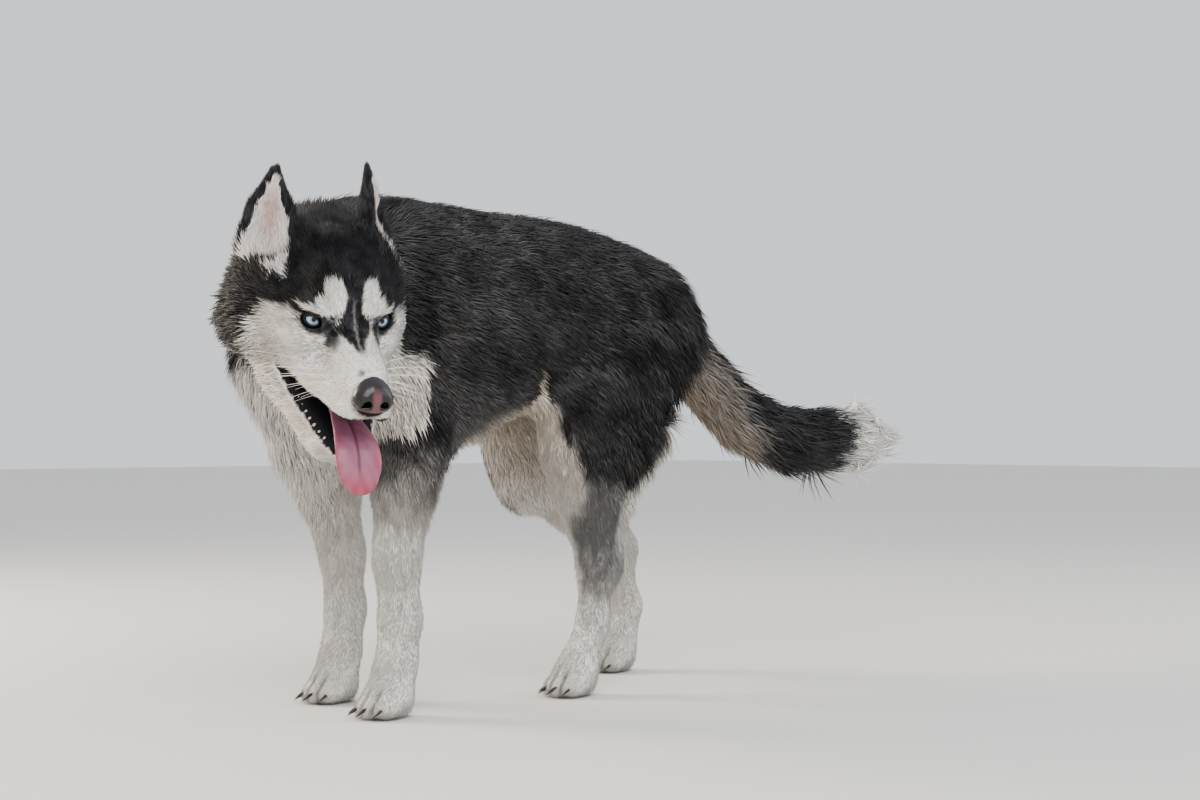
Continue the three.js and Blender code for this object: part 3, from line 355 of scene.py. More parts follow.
def mantle_share(points, normals, ragged, hind):
    """0 to 1 where the body is dark."""
    x, y, z = points.T
    dark = soft(z - follow(x, MANTLE_EDGE) + ragged, 12)
    shoulder = soft(x - follow(z, CHEST_EDGE) + ragged * 0.5, 7) * soft(z - 285 + ragged, 22)
    dark = np.where(x < 4, shoulder, dark)
    faces_down = soft(-normals[:, 2] - np.where(y < 0, 0.8, 0.62), 0.12)
    underside = faces_down * soft(400 - z, 20) * soft(440 - x, 10)
    between_legs = soft(46 - np.abs(y), 8) * soft(340 - z, 20)
    breast = soft(-x - 66, 10) * soft(402 - z + ragged, 14) * (z > 300)
    dark *= (1 - underside) * (1 - between_legs) * (1 - breast)
    thigh = soft(z - 257 + ragged * 0.6, 9) * (1 - hind.front) * (1 - hind.back) * soft(np.abs(y) - 40, 12)
    dark = np.where(hind.here, thigh, dark)
    return dark * (1 - hind.here * hind.inner * soft(390 - z, 20))


def mantle_colour(points, ragged, mottle):
    """Black and charcoal, greyer in patches and along the ribs, with a painted grey sheen on the nape."""
    x, _, z = points.T
    mantle = mix(BLACK, CHARCOAL, mottle)
    mantle = mix(mantle, GREY, soft(noise(points * (0.55, 1, 1), 19, 5) - 0.3, 0.8) * 0.42)
    # A painted grey sheen in patches over the nape, where light catches the fur
    nape = soft(z - 380, 60) * soft(170 - x, 60) * soft(x + 130, 60)
    mantle = mix(mantle, GREY * 0.9, soft(noise(points, 60, 9) - 0.2, 0.8) * nape * 0.5)
    ribs = soft(352 - z + ragged, 26) * (x > 0) * (x < 130)
    return mix(mantle, GREY * 1.1, ribs * 0.7)


def pale_colour(points, ragged, hind):
    """Cream and white, with grey down the outside of the hind legs and on the left foreleg's upper part."""
    x, y, z = points.T
    pale = mix(CREAM, WHITE, np.maximum(soft(300 - z, 90), soft(-x - 40, 30)))
    pale = mix(pale, TAN, soft(noise(points, 40, 4), 0.9) * soft(z - 150, 60) * 0.18 * (x > -40))
    grey_leg = soft(z - 125 + ragged, 45) * (1 - np.maximum(hind.front, hind.back)) * (1 - hind.inner) * 0.85
    pale = mix(pale, SLATE, grey_leg * (hind.here & (z < 275)))
    foreleg = (x < 60) & (y < -40) & (z > 185) & (z < 310)
    fade = soft(z - 238 + ragged, 34) * 0.85 * soft(x - follow(z, FORELEG_EDGE) + ragged * 0.4, 9)
    return mix(pale, GREY * 1.1, fade * foreleg)


def tail_colour(points, ragged, mottle):
    """Black above, tan below near the root, and a white tip."""
    x, _, z = points.T
    above = z - follow(x, [(along, up) for along, _, up in TAIL])
    under = soft(follow(x, TAIL_TAN) - above + ragged * 1.3, 18)
    tip = soft(x - TAIL_TIP - 0.12 * above + ragged, 8)
    fringe = mix(mix(TAN, SMOKE, 0.75), TAN, soft(-above - 34, 26) * 0.75)
    return mix(mix(mix(BLACK, CHARCOAL, mottle), fringe, under * 0.9), WHITE, tip)


def body_colour(points, normals):
    ragged = noise(points, 24) * 9
    mottle = soft(noise(points * (0.6, 1, 1), 34, 3) - 0.1, 0.8)
    hind = HindLegs(points, normals, ragged)
    dark = mantle_share(points, normals, ragged, hind)
    colour = mix(pale_colour(points, ragged, hind), mantle_colour(points, ragged, mottle), dark)
    off, along = tail_place(points)
    tail = (off < 95) & (points[:, 0] > 440) & (along > 0.08)
    return np.where(tail[:, None], tail_colour(points, ragged, mottle), colour)


def toe_clefts(points):
    """0 to 1 in the three grooves between the toes of each paw."""
    cleft = np.zeros(len(points))
    px, py, pz = points.T
    for x, y, wide in PAWS:
        on_toes = (np.abs(py - y) < 40) * (px > x - 60) * soft(34 - pz, 6)
        for k in (-1, 0, 1):
            away = py - (y + k * wide * 0.47)
            front = soft(x - 12 - px + 8 * (k == 0), 6) * on_toes
            cleft = np.maximum(cleft, np.exp(-((away / 2.4) ** 2)) * front)
    return cleft


def coat_colour(points, normals):
    # The grooves between the toes are darkened with painted shade
    colour = body_colour(points, normals) * (1 - 0.6 * toe_clefts(points))[:, None]
    head = near_head(points)
    if head.any():
        colour[head] = head_colour(points[head], normals[head])
    return np.clip(colour, 0, 1)


# Guides for the coat: a place, the way the hair lies, its length, and how far its skin lies below the solid

GUIDES = []


def guide(place, way, length, depth, both=False):
    for side in (1, -1) if both else (1,):
        mirror = (1, side, 1)
        GUIDES.append([*(np.array(place) * mirror), *unit(np.array(way) * mirror), length, depth])


def head_guide(u, v, w, way, length, depth, jaw=False):
    for side in (1, -1) if u else (1,):
        spot = on_jaw(side * u, v, w) if jaw else on_head(side * u, v, w)
        GUIDES.append([*spot, *unit(U * way[0] * side + V * way[1] + W * way[2]), length, depth])


# The back, the sides and the belly
for x, z in ((-40, 585), (60, 582), (160, 578), (250, 574), (330, 560)):
    guide((x, 0, z), (1, 0, -0.08), 32, 9)
guide((400, 0, 530), (0.8, 0, -0.6), 34, 10)
for x in (-10, 80, 170, 260):
    guide((x, 112, 470), (1, 0, -0.4), 30, 8, both=True)
guide((40, 108, 380), (1, 0, -0.45), 28, 7, both=True)
guide((130, 95, 350), (1, 0, -0.35), 26, 7, both=True)
guide((40, 0, 285), (1, 0, -0.1), 22, 6)
guide((200, 0, 350), (1, 0, -0.1), 22, 6)
# The shoulders, the breast and the neck
guide((-70, 100, 440), (0.6, 0, -0.8), 32, 9, both=True)
guide((-40, 100, 350), (0.35, 0, -1), 24, 7, both=True)
guide((-150, 10, 410), (0.2, 0, -1), 40, 12)
guide((-125, 25, 320), (0.25, 0, -1), 38, 11)
guide((-85, 60, 260), (0.2, 0, -1), 26, 7)
guide((-100, -60, 330), (0.3, -0.1, -1), 34, 9)
guide((-100, 10, 570), (0.95, 0.3, -0.05), 38, 11)
guide((-130, 70, 500), (0.85, 0.5, -0.5), 40, 12)
guide((-150, 60, 440), (0.6, 0.4, -0.8), 42, 12)
guide((-60, -100, 500), (0.9, 0.2, -0.5), 36, 10)
# The thighs and the breeches
guide((340, 80, 450), (0.6, 0, -0.8), 32, 9, both=True)
guide((300, 98, 360), (0.35, 0, -1), 26, 8, both=True)
guide((405, 60, 430), (0.3, 0, -1), 46, 4, both=True)
guide((372, 75, 340), (0.3, 0, -1), 44, 1, both=True)
guide((330, 75, 290), (0.3, 0, -1), 30, 2, both=True)
guide((205, 84, 300), (0.15, 0, -1), 18, 6, both=True)
guide((158, 85, 320), (0.2, 0, -1), 12, 18, both=True)
guide((176, 85, 268), (0.1, 0, -1), 11, 9, both=True)
# The legs and the paws
guide((215, -80, 235), (0.25, 0, -1), 12, 3)
guide((265, -75, 160), (0, 0, -1), 8.5, 2)
guide((238, -75, 80), (-0.2, 0, -1), 6.5, 1.5)
guide((330, 80, 220), (0.5, 0, -1), 12, 3)
guide((425, 75, 160), (0.1, 0, -1), 8.5, 2)
guide((436, 75, 80), (-0.1, 0, -1), 6.5, 1.5)
for x, y in ((-34, -75), (-4, 71)):
    guide((x, y, 250), (0.1, 0, -1), 13, 3.5)
    guide((x, y, 170), (0, 0, -1), 8.5, 2)
    guide((x, y, 90), (0, 0, -1), 6.5, 1.5)
for x, y, _ in PAWS:
    guide((x, y, 34), (-1, 0, -0.7), 7, 1.5)
    guide((x - 30, y, 16), (-1, 0, -0.9), 5, 1.2)
    guide((x + 24, y, 20), (0.2, 0, -1), 6, 1.5)
# The head, from the nose back over the brow, and then down the cheeks
head_guide(0, 95, -28, (0, -1, 0.1), 3.5, 0.8)
head_guide(0, 55, -6, (0, -1, 0.1), 5, 1)
head_guide(0, 15, 8, (0, -1, 0.4), 7, 1.3)
head_guide(0, -20, 50, (0, -1, 0.7), 10, 2)
head_guide(0, -80, 74, (0, -1, -0.2), 14, 3)
head_guide(26, -6, 28, (0.5, -0.7, 0.8), 9, 1.6)
head_guide(46, -24, 8, (0.7, -1, 0.1), 10, 2)
head_guide(36, 12, -22, (0.5, -1, -0.2), 7, 1.3)
head_guide(26, 60, -42, (0.35, -1, -0.2), 5, 1)
head_guide(16, 92, -56, (0.5, -1, -0.3), 4, 0.9)
head_guide(52, -20, -42, (0.4, -1, -0.4), 12, 3)
head_guide(74, -56, -26, (0.35, -1, -0.5), 22, 6)
head_guide(96, -88, -28, (0.2, -0.8, -0.8), 32, 9)
head_guide(80, -90, 12, (0.3, -1, -0.2), 22, 6)
# The lower jaw
head_guide(12, 80, -82, (0.2, -1, -0.2), 6, 1.5, jaw=True)
head_guide(26, 40, -84, (0.25, -1, -0.4), 11, 3, jaw=True)
head_guide(44, -20, -84, (0.2, -0.9, -0.6), 24, 6, jaw=True)
head_guide(0, -30, -96, (0, -0.9, -0.6), 24, 6, jaw=True)
# The ears, on both faces of the cup
for foot, tip, faces in EARS.values():
    run = np.array(tip, float) - foot
    up = unit(run)
    for share, length in ((0.0, 11), (0.45, 7), (0.9, 3.2)):
        for face in (1, -1):
            place = on_head(*(np.array(foot) + run * share + face * unit(np.array(faces, float)) * 9))
            GUIDES.append([*place, *(U * up[0] + V * up[1] + W * up[2]), length, 0.4])
# The tail, all round
TAIL_COAT = [(44, 14), (54, 18), (62, 22), (64, 24), (62, 24), (54, 20), (42, 14), (30, 8)]  # length, depth
tail_spots = tail_line(len(TAIL_COAT) + 1)
tail_ways = unit(np.gradient(tail_spots, axis=0))
for spot, way, (length, depth) in zip(tail_spots[1:], tail_ways[1:], TAIL_COAT):
    for out in ((0, 0, 46), (0, 0, -46), (0, 46, 0), (0, -46, 0)):
        GUIDES.append([*(spot + out), *way, length, depth])
GUIDES = np.array(GUIDES)
AT_ONCE = 8000  # points blended together, to save memory


def combed(points):
    """The lie, length and skin depth at each point, blended from the nearest guides."""
    lie, length, depth = np.zeros((len(points), 3)), np.zeros(len(points)), np.zeros(len(points))
    for start in range(0, len(points), AT_ONCE):
        part = slice(start, start + AT_ONCE)
        away = np.linalg.norm(points[part][:, None] - GUIDES[None, :, :3], axis=2)
        weight = 1 / (away + 6) ** 4
        weight /= weight.sum(1, keepdims=True)
        lie[part] = weight @ GUIDES[:, 3:6]
        length[part] = weight @ GUIDES[:, 6]
        depth[part] = weight @ GUIDES[:, 7]
    return unit(lie), length, depth


# Meshes from the solids


def merged_copy(names, name):
    """One piece with the faces of several of the frame's solids."""
    bm = bmesh.new()
    for n in names:
        bm.from_mesh(NODES[n].data)
    bmesh.ops.remove_doubles(bm, verts=bm.verts, dist=1e-6)
    mesh = bpy.data.meshes.new(name)
    bm.to_mesh(mesh)
    bm.free()
    piece = bpy.data.objects.new(name, mesh)
    SCENE.collection.objects.link(piece)
    return piece


def applied(piece):
    """The piece with its modifiers made part of its mesh."""
    graph = bpy.context.evaluated_depsgraph_get()
    mesh = bpy.data.meshes.new_from_object(piece.evaluated_get(graph))
    piece.modifiers.clear()
    piece.data = mesh
    return piece


def remeshed(piece, voxel):
    """The piece as one even surface, with faces of about `voxel` metres."""
    modifier = piece.modifiers.new("Remesh", "REMESH")
    modifier.mode = "VOXEL"
    modifier.voxel_size = voxel
    modifier.use_smooth_shade = True
    return applied(piece)


def points_of(mesh):
    co = np.zeros(len(mesh.vertices) * 3)
    mesh.vertices.foreach_get("co", co)
    return co.reshape(-1, 3)


def normals_of(mesh):
    normals = np.zeros(len(mesh.vertices) * 3)
    mesh.vertex_normals.foreach_get("vector", normals)
    return normals.reshape(-1, 3)


def set_points(mesh, co):
    mesh.vertices.foreach_set("co", co.astype(np.float32).ravel())
    mesh.update()


def smoothed(mesh, rounds, share):
    """Draws each point towards the middle of its neighbours, by `share` of 0 to 1."""
    co = points_of(mesh)
    edges = np.zeros(len(mesh.edges) * 2, np.int64)
    mesh.edges.foreach_get("vertices", edges)
    a, b = edges.reshape(-1, 2).T
    ends = np.r_[a, b]
    count = np.bincount(ends, minlength=len(co))[:, None]
    for _ in range(rounds):
        total = np.stack([np.bincount(ends, np.r_[co[b, k], co[a, k]], len(co)) for k in range(3)], 1)
        co += (total / np.maximum(count, 1) - co) * (0.6 * np.reshape(share, (-1, 1)))
    set_points(mesh, co)


def paint(mesh, colour):
    """Stores one coat colour for each point."""
    layer = mesh.color_attributes.new("Coat", "FLOAT_COLOR", "POINT")
    layer.data.foreach_set("color", np.c_[colour, np.ones(len(colour))].astype(np.float32).ravel())


def shade_smooth(mesh):
    mesh.polygons.foreach_set("use_smooth", np.ones(len(mesh.polygons), bool))
    mesh.update()


# The skin: one surface over the flesh, drawn in by the coat's depth

FLESH = [n for n in NODES if n not in ("tongue", "nose", "eye_left", "eye_right")]
SKIN_VOXEL = 0.0028  # metres
SKIN_FACES = 92000
CLEFT_DEPTH = 4  # millimetres
LOWEST_SKIN, LOWEST_HAIR = 0.0008, 0.0004  # metres above the floor


def drawn_skin():
    """The flesh as one surface, smoothed, drawn in by the coat's depth and thinned."""
    piece = remeshed(merged_copy(FLESH, "skin"), SKIN_VOXEL)
    mesh = piece.data
    points = from_frame(points_of(mesh))
    on_face = near_head(points)
    off_tail, _ = tail_place(points)
    on_tail = (off_tail < 90) & (points[:, 0] > TAIL_FROM)
    on_ear = on_face & is_ear(points)
    smoothed(mesh, 3, np.where(on_ear, 0.25, 1.0))
    smoothed(mesh, 14, np.where(on_face, 0.08, 1.0) * ~on_ear)
    smoothed(mesh, 90, np.where(on_tail, 1.0, 0.0))
    points = from_frame(points_of(mesh))
    _, _, depth = combed(points)
    depth += CLEFT_DEPTH * toe_clefts(points)
    set_points(mesh, points_of(mesh) - normals_of(mesh) * depth[:, None] / 1000)
    smoothed(mesh, 6, np.where(on_face, 0.15, 1.0) * ~on_ear * np.where(points[:, 2] < 40, 0.3, 1.0))
    thinner = piece.modifiers.new("Decimate", "DECIMATE")
    thinner.ratio = min(1.0, SKIN_FACES / len(mesh.polygons))
    piece = applied(piece)
    co = points_of(piece.data)
    co[:, 2] = np.maximum(co[:, 2], LOWEST_SKIN)
    set_points(piece.data, co)
    return piece


def unwrapped(piece):
    """Gives the piece the unwrap that the coat's bake patches follow."""
    bpy.context.view_layer.objects.active = piece
    piece.select_set(True)
    piece.data.uv_layers.new(name="OFBake")
    bpy.ops.object.mode_set(mode="EDIT")
    bpy.ops.mesh.select_all(action="SELECT")
    bpy.ops.uv.smart_project(angle_limit=math.radians(70), island_margin=0.003)
    bpy.ops.object.mode_set(mode="OBJECT")
    piece.select_set(False)


skin = drawn_skin()
paint(skin.data, coat_colour(from_frame(points_of(skin.data)), normals_of(skin.data)))
shade_smooth(skin.data)
unwrapped(skin)


# Materials


def surface(name, colour=(0.5, 0.5, 0.5), roughness=0.6, **sockets):
    """A plain finish, with its tree and its shader for more to be added."""
    material = bpy.data.materials.new(name)
    material.use_nodes = True
    shader = material.node_tree.nodes["Principled BSDF"]
    shader.inputs["Base Color"].default_value = (*colour, 1)
    shader.inputs["Roughness"].default_value = roughness
    for key, value in sockets.items():
        shader.inputs[key.replace("_", " ")].default_value = value
    return material, material.node_tree, shader


def painted(tree, shader):
    """Takes the colour from the one stored at each point."""
    node = tree.nodes.new("ShaderNodeAttribute")
    node.attribute_name = "Coat"
    tree.links.new(node.outputs["Color"], shader.inputs["Base Color"])


def bumped(tree, shader, scale, strength, distance, stretch=(1, 1, 1)):
    """Adds a fine grain to the surface."""
    place = tree.nodes.new("ShaderNodeTexCoord")
    mapping = tree.nodes.new("ShaderNodeMapping")
    mapping.inputs["Scale"].default_value = stretch
    grain = tree.nodes.new("ShaderNodeTexNoise")
    grain.inputs["Scale"].default_value = scale
    grain.inputs["Detail"].default_value = 4
    bump = tree.nodes.new("ShaderNodeBump")
    bump.inputs["Strength"].default_value = strength
    bump.inputs["Distance"].default_value = distance
    tree.links.new(place.outputs["Object"], mapping.inputs["Vector"])
    tree.links.new(mapping.outputs["Vector"], grain.inputs["Vector"])
    tree.links.new(grain.outputs["Fac"], bump.inputs["Height"])
    tree.links.new(bump.outputs["Normal"], shader.inputs["Normal"])


skin_finish, tree, shader = surface("short_hair", roughness=0.75, Specular_IOR_Level=0.25)
painted(tree, shader)
bumped(tree, shader, 900, 0.5, 0.0006, (1, 1, 0.35))
skin.data.materials.clear()
skin.data.materials.append(skin_finish)
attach(skin, "root")
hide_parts(*FLESH)

hair_finish, tree, shader = surface("guard_hair", roughness=0.5, Specular_IOR_Level=0.3)
painted(tree, shader)


# The coat: three-sided hairs, short ones as straight spikes and long ones as blades with a bend halfway

LONG_FROM = 15  # millimetres
HAIR_SPACING = [(3, 1.15), (6, 1.35), (12, 1.75), (22, 2.6), (34, 2.75), (70, 2.3)]  # length, gap
HAIR_WIDTH = [(3, 0.8), (8, 1.1), (14, 1.5), (30, 2.1), (60, 2.8)]  # length, width
EAR_FRINGE = 13  # length of the hairs inside an ear
TAIL_TUFT = 745  # x from where the hairs of the tail's tip draw together
MOST_SHORT, MOST_LONG = 60000, 21000  # hairs in one piece
ROOT_DEPTH = 0.0007  # metres under the skin
# The corners of the faces: three round the root, three halfway if the hair bends, and the tip last
SPIKE = np.array([0, 3, 1, 1, 3, 2, 2, 3, 0])
BLADE = np.array([0, 3, 4, 0, 4, 1, 1, 4, 5, 1, 5, 2, 2, 5, 3, 2, 3, 0, 3, 6, 4, 4, 6, 5, 5, 6, 3])
PATCH_SIZE = 0.003  # share of the bake map that one hair takes
BLADE_PATCH = np.array([(-0.5, 0), (0.5, 0), (0, 0.02), (-0.42, 0.5), (0.42, 0.5), (0, 0.52), (0, 1)])
BLADE_PATCH *= PATCH_SIZE
SPIKE_PATCH = BLADE_PATCH[[0, 1, 2, 6]]


def bare(points):
    """True where no hair grows: the eyes, the nose leather, the mouth and the soles."""
    none = in_mouth(points)
    for side in (-1, 1):
        away = points - eye_at(side)
        none |= ((away @ U / 13) ** 2 + (away @ W / 8) ** 2 < 1) & (away @ V > -6)
        none |= np.linalg.norm(away, axis=1) < EYE_RADIUS + 0.6
    none |= np.linalg.norm(points - on_head(0, MUZZLE - 1, -38), axis=1) < NOSE_EDGE
    none |= points[:, 2] < 3
    return none


def wanted_hairs(points):
    """Hairs to the square metre."""
    _, length, _ = combed(points)
    many = 1e6 / follow(length, HAIR_SPACING) ** 2
    many[bare(points)] = 0
    return many


def sampled(mesh):
    """The hairs' roots, spread over the mesh as densely as wanted, with their normals and bake places."""
    mesh.calc_loop_triangles()
    tris = np.zeros(len(mesh.loop_triangles) * 3, np.int64)
    loops = np.zeros(len(mesh.loop_triangles) * 3, np.int64)
    mesh.loop_triangles.foreach_get("vertices", tris)
    mesh.loop_triangles.foreach_get("loops", loops)
    tris, loops = tris.reshape(-1, 3), loops.reshape(-1, 3)
    uv = np.zeros(len(mesh.loops) * 2)
    mesh.uv_layers["OFBake"].data.foreach_get("uv", uv)
    uv = uv.reshape(-1, 2)
    co, normals = points_of(mesh), normals_of(mesh)
    corner = co[tris]
    cross = np.cross(corner[:, 1] - corner[:, 0], corner[:, 2] - corner[:, 0])
    area = np.linalg.norm(cross, axis=1) / 2
    share = area * wanted_hairs(from_frame(corner.mean(1)))
    total = int(share.sum())
    pick = np.searchsorted(np.cumsum(share), (np.arange(total) + rng.random(total)) / total * share.sum())
    pick = np.minimum(pick, len(tris) - 1)
    spread = rng.random((total, 2))
    over = spread.sum(1) > 1
    spread[over] = 1 - spread[over]
    weight = np.c_[1 - spread.sum(1), spread][:, :, None]
    roots = (corner[pick] * weight).sum(1)
    return roots, unit((normals[tris[pick]] * weight).sum(1)), (uv[loops[pick]] * weight).sum(1)


def hair_points(bent, roots, normals, lie, length, width, lift):
    """The points of each hair: a ring of three at its root, another halfway if it bends, and its tip."""
    along = (lie * normals).sum(1)[:, None]
    lie = unit(lie - normals * along * np.where(along < 0, 1, 0.35))
    across = unit(np.cross(lie, normals + rng.normal(size=normals.shape) * 0.04))
    rise = np.cross(across, lie)
    length, width = length[:, None] / 1000, width[:, None] / 1000
    out = normals * np.sin(lift)[:, None]
    run = lie * np.cos(lift)[:, None]
    rings = [(roots - normals * ROOT_DEPTH, 1.0)]
    if bent:
        rings.append((roots + (run + out) * length * 0.5, 0.85))
    points = []
    for centre, size in rings:
        half = across * width * size / 2
        points += [centre - half, centre + half, centre + rise * width * size * 0.3]
    points.append(roots + (run * 1.02 + out * (0.62 if bent else 0.85)) * length)
    points = np.stack(points, 1)
    points[..., 2] = np.maximum(points[..., 2], LOWEST_HAIR)
    return points


def hair_mesh(name, bent, points, uv, root_colour, tip_colour):
    """One mesh of hairs, each with its colours and its own patch to bake on."""
    count, each, _ = points.shape
    faces = (np.arange(count)[:, None] * each + (BLADE if bent else SPIKE)).ravel()
    mesh = bpy.data.meshes.new(name)
    mesh.vertices.add(count * each)
    mesh.vertices.foreach_set("co", points.astype(np.float32).ravel())
    mesh.loops.add(len(faces))
    mesh.loops.foreach_set("vertex_index", faces.astype(np.int32))
    mesh.polygons.add(len(faces) // 3)
    mesh.polygons.foreach_set("loop_start", np.arange(0, len(faces), 3, dtype=np.int32))
    mesh.update(calc_edges=True)
    patch = BLADE_PATCH if bent else SPIKE_PATCH
    spots = np.clip(uv[:, None] + patch[None], 0, 1).reshape(-1, 2)
    mesh.uv_layers.new(name="OFBake").data.foreach_set("uv", spots[faces].astype(np.float32).ravel())
    halfway = [mix(root_colour, tip_colour, 0.6)] * 3 if bent else []
    colour = np.stack([root_colour] * 3 + halfway + [tip_colour], 1)
    paint(mesh, np.clip(colour.reshape(-1, 3), 0, 1))
    shade_smooth(mesh)
    return mesh


def tufts(name, bent, slot, uv, root_colour, tip_colour, **shape):
    """One piece of the coat."""
    mesh = hair_mesh(name, bent, hair_points(bent, **shape), uv, root_colour, tip_colour)
    piece = bpy.data.objects.new(name, mesh)
    SCENE.collection.objects.link(piece)
    mesh.materials.append(hair_finish)
    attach(piece, "root")


def hair_lie(points, normals, lie):
    """The combed lie, waved and ruffled, and drawn together at the tail's tip."""
    wave = noise(points, 16, 6)[:, None] * 0.22 * np.cross(lie, normals)
    lie = unit(lie + wave + rng.normal(size=lie.shape) * 0.1)
    line = tail_line()
    nearest = np.clip(np.searchsorted(line[6:, 0], points[:, 0]) + 6, 0, len(line) - 1)
    inward = 0.75 * soft(points[:, 0] - TAIL_TUFT, 40)
    return unit(lie - unit(points - line[nearest]) * inward[:, None])


def grow_coat():
    roots, normals, uv = sampled(skin.data)
    points = from_frame(roots)
    lie, length, _ = combed(points)
    keep = ~bare(points)
    roots, normals, uv, points, lie, length = (a[keep] for a in (roots, normals, uv, points, lie, length))
    in_ear = inner_ear(points, normals) * near_head(points) > 0.5
    length = np.where(in_ear, EAR_FRINGE, length)
    colour = coat_colour(points, normals)
    lie = hair_lie(points, normals, lie)
    shaggy = np.clip((length - 20) / 40, 0, 1)
    length = length * rng.uniform(0.72, 1.12, len(length))
    width = follow(length, HAIR_WIDTH) * rng.uniform(0.7, 1.25, len(length))
    lift = np.radians(13 + 9 * shaggy + 5 * noise(points, 11, 8)) + rng.normal(size=len(points)) * 0.05
    lift = np.clip(lift * np.where(points[:, 0] > TAIL_FROM, 0.55, 1), 0.05, 0.7)
    # Dark hairs are greyer at the root and darker at the tip, and pale hairs are warmer at the root
    light = colour.mean(1)
    shade = rng.uniform(0.78, 1.18, len(points))[:, None]
    root = mix(colour, UNDERCOAT, np.where(light < 0.1, 0.3, 0.0) * (length > 12))
    root = mix(root, TAN, np.where(light > 0.4, 0.12, 0) * np.clip(length / 30, 0, 1))
    tip = colour * np.where(light < 0.1, 0.85, 1.06)[:, None]
    hairs = {
        "roots": roots, "normals": normals, "uv": uv, "lie": lie,
        "length": length, "width": width, "lift": lift,
        "root_colour": root * shade, "tip_colour": tip * shade,
    }
    for bent, label, most in ((False, "short", MOST_SHORT), (True, "long", MOST_LONG)):
        chosen = np.flatnonzero((length >= LONG_FROM) == bent)
        chosen = chosen[np.argsort(points[chosen, 0])]
        for i, part in enumerate(np.array_split(chosen, math.ceil(len(chosen) / most))):
            slot = "pale_coat" if colour[part].mean() > 0.25 else "dark_coat"
            tufts(f"coat_{label}_{i + 1}", bent, slot, **{key: value[part] for key, value in hairs.items()})


grow_coat()


# Eyes and lids


def finished(name, mesh, material, slot, *replaced):
    """A piece from a mesh, with its finish and the solids it stands for. The slot is not used."""
    shade_smooth(mesh)
    piece = bpy.data.objects.new(name, mesh)
    SCENE.collection.objects.link(piece)
    mesh.materials.clear()
    mesh.materials.append(material)
    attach(piece, "root")
    if replaced:
        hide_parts(*replaced)


def mesh_from(bm, name):
    mesh = bpy.data.meshes.new(name)
    bm.to_mesh(mesh)
    bm.free()
    return mesh


RING_REACH = 0.02  # metres
EYE_RINGS = [  # share of the reach from the middle of the pupil, and the colour there
    (0.0, (0.003, 0.003, 0.004)),
    (0.115, (0.003, 0.003, 0.004)),
    (0.132, (0.24, 0.38, 0.56)),
    (0.22, (0.46, 0.60, 0.77)),
    (0.37, (0.38, 0.54, 0.72)),
    (0.405, (0.05, 0.09, 0.15)),
    (0.43, (0.05, 0.06, 0.08)),
    (0.47, (0.30, 0.29, 0.30)),
]


def ringed(tree, shader, centre, rings):
    """Colours a surface in rings, by its distance from a point."""
    place = tree.nodes.new("ShaderNodeTexCoord")
    away = tree.nodes.new("ShaderNodeVectorMath")
    away.operation = "DISTANCE"
    away.inputs[1].default_value = centre
    tree.links.new(place.outputs["Object"], away.inputs[0])
    scale = tree.nodes.new("ShaderNodeMath")
    scale.operation = "MULTIPLY"
    scale.inputs[1].default_value = 1 / RING_REACH
    tree.links.new(away.outputs["Value"], scale.inputs[0])
    ramp = tree.nodes.new("ShaderNodeValToRGB")
    tree.links.new(scale.outputs["Value"], ramp.inputs["Fac"])
    elements = ramp.color_ramp.elements
    while len(elements) > 1:
        elements.remove(elements[-1])
    elements[0].position = rings[0][0]
    elements[0].color = (*rings[0][1], 1)
    for at, colour in rings[1:]:
        elements.new(at).color = (*colour, 1)
    tree.links.new(ramp.outputs["Color"], shader.inputs["Base Color"])


for side, label in ((-1, "left"), (1, "right")):
    gaze = unit(V * 0.95 + U * side * 0.24 + W * 0.17)
    centre = to_frame(eye_at(side))
    bm = bmesh.new()
    bmesh.ops.create_uvsphere(bm, u_segments=40, v_segments=28, radius=EYE_RADIUS / 1000)
    bmesh.ops.translate(bm, verts=bm.verts, vec=Vector(centre))
    finish, tree, shader = surface(
        f"eye_{label}_finish", roughness=0.14, Coat_Weight=0.35, Coat_Roughness=0.03, Specular_IOR_Level=0.4
    )
    ringed(tree, shader, Vector(centre + gaze * EYE_RADIUS / 1000), EYE_RINGS)
    finished(f"eyeball_{label}", mesh_from(bm, f"eyeball_{label}"), finish, "eye", f"eye_{label}")

lid_finish, _, _ = surface("lid_leather", (0.008, 0.007, 0.008), 0.35)
LID_RINGS = [(11.4, 6.4), (13.2, 8.9), (14.6, 11.6)]  # half width and half height


def tubes(name, lines, radius, material, slot, cyclic=False, tip=1.0):
    """Round strands along lines of points, as one mesh. `tip` is their size at the far end."""
    curve = bpy.data.curves.new(name, "CURVE")
    curve.dimensions = "3D"
    curve.bevel_depth = radius
    curve.bevel_resolution = 1
    curve.use_fill_caps = True
    for points in lines:
        spline = curve.splines.new("POLY")
        spline.points.add(len(points) - 1)
        for i, point in enumerate(points):
            spline.points[i].co = (*point, 1)
            spline.points[i].radius = 1 + (tip - 1) * i / (len(points) - 1)
        spline.use_cyclic_u = cyclic
    holder = bpy.data.objects.new(name, curve)
    SCENE.collection.objects.link(holder)
    graph = bpy.context.evaluated_depsgraph_get()
    mesh = bpy.data.meshes.new_from_object(holder.evaluated_get(graph))
    bpy.data.objects.remove(holder)
    finished(name, mesh, material, slot)


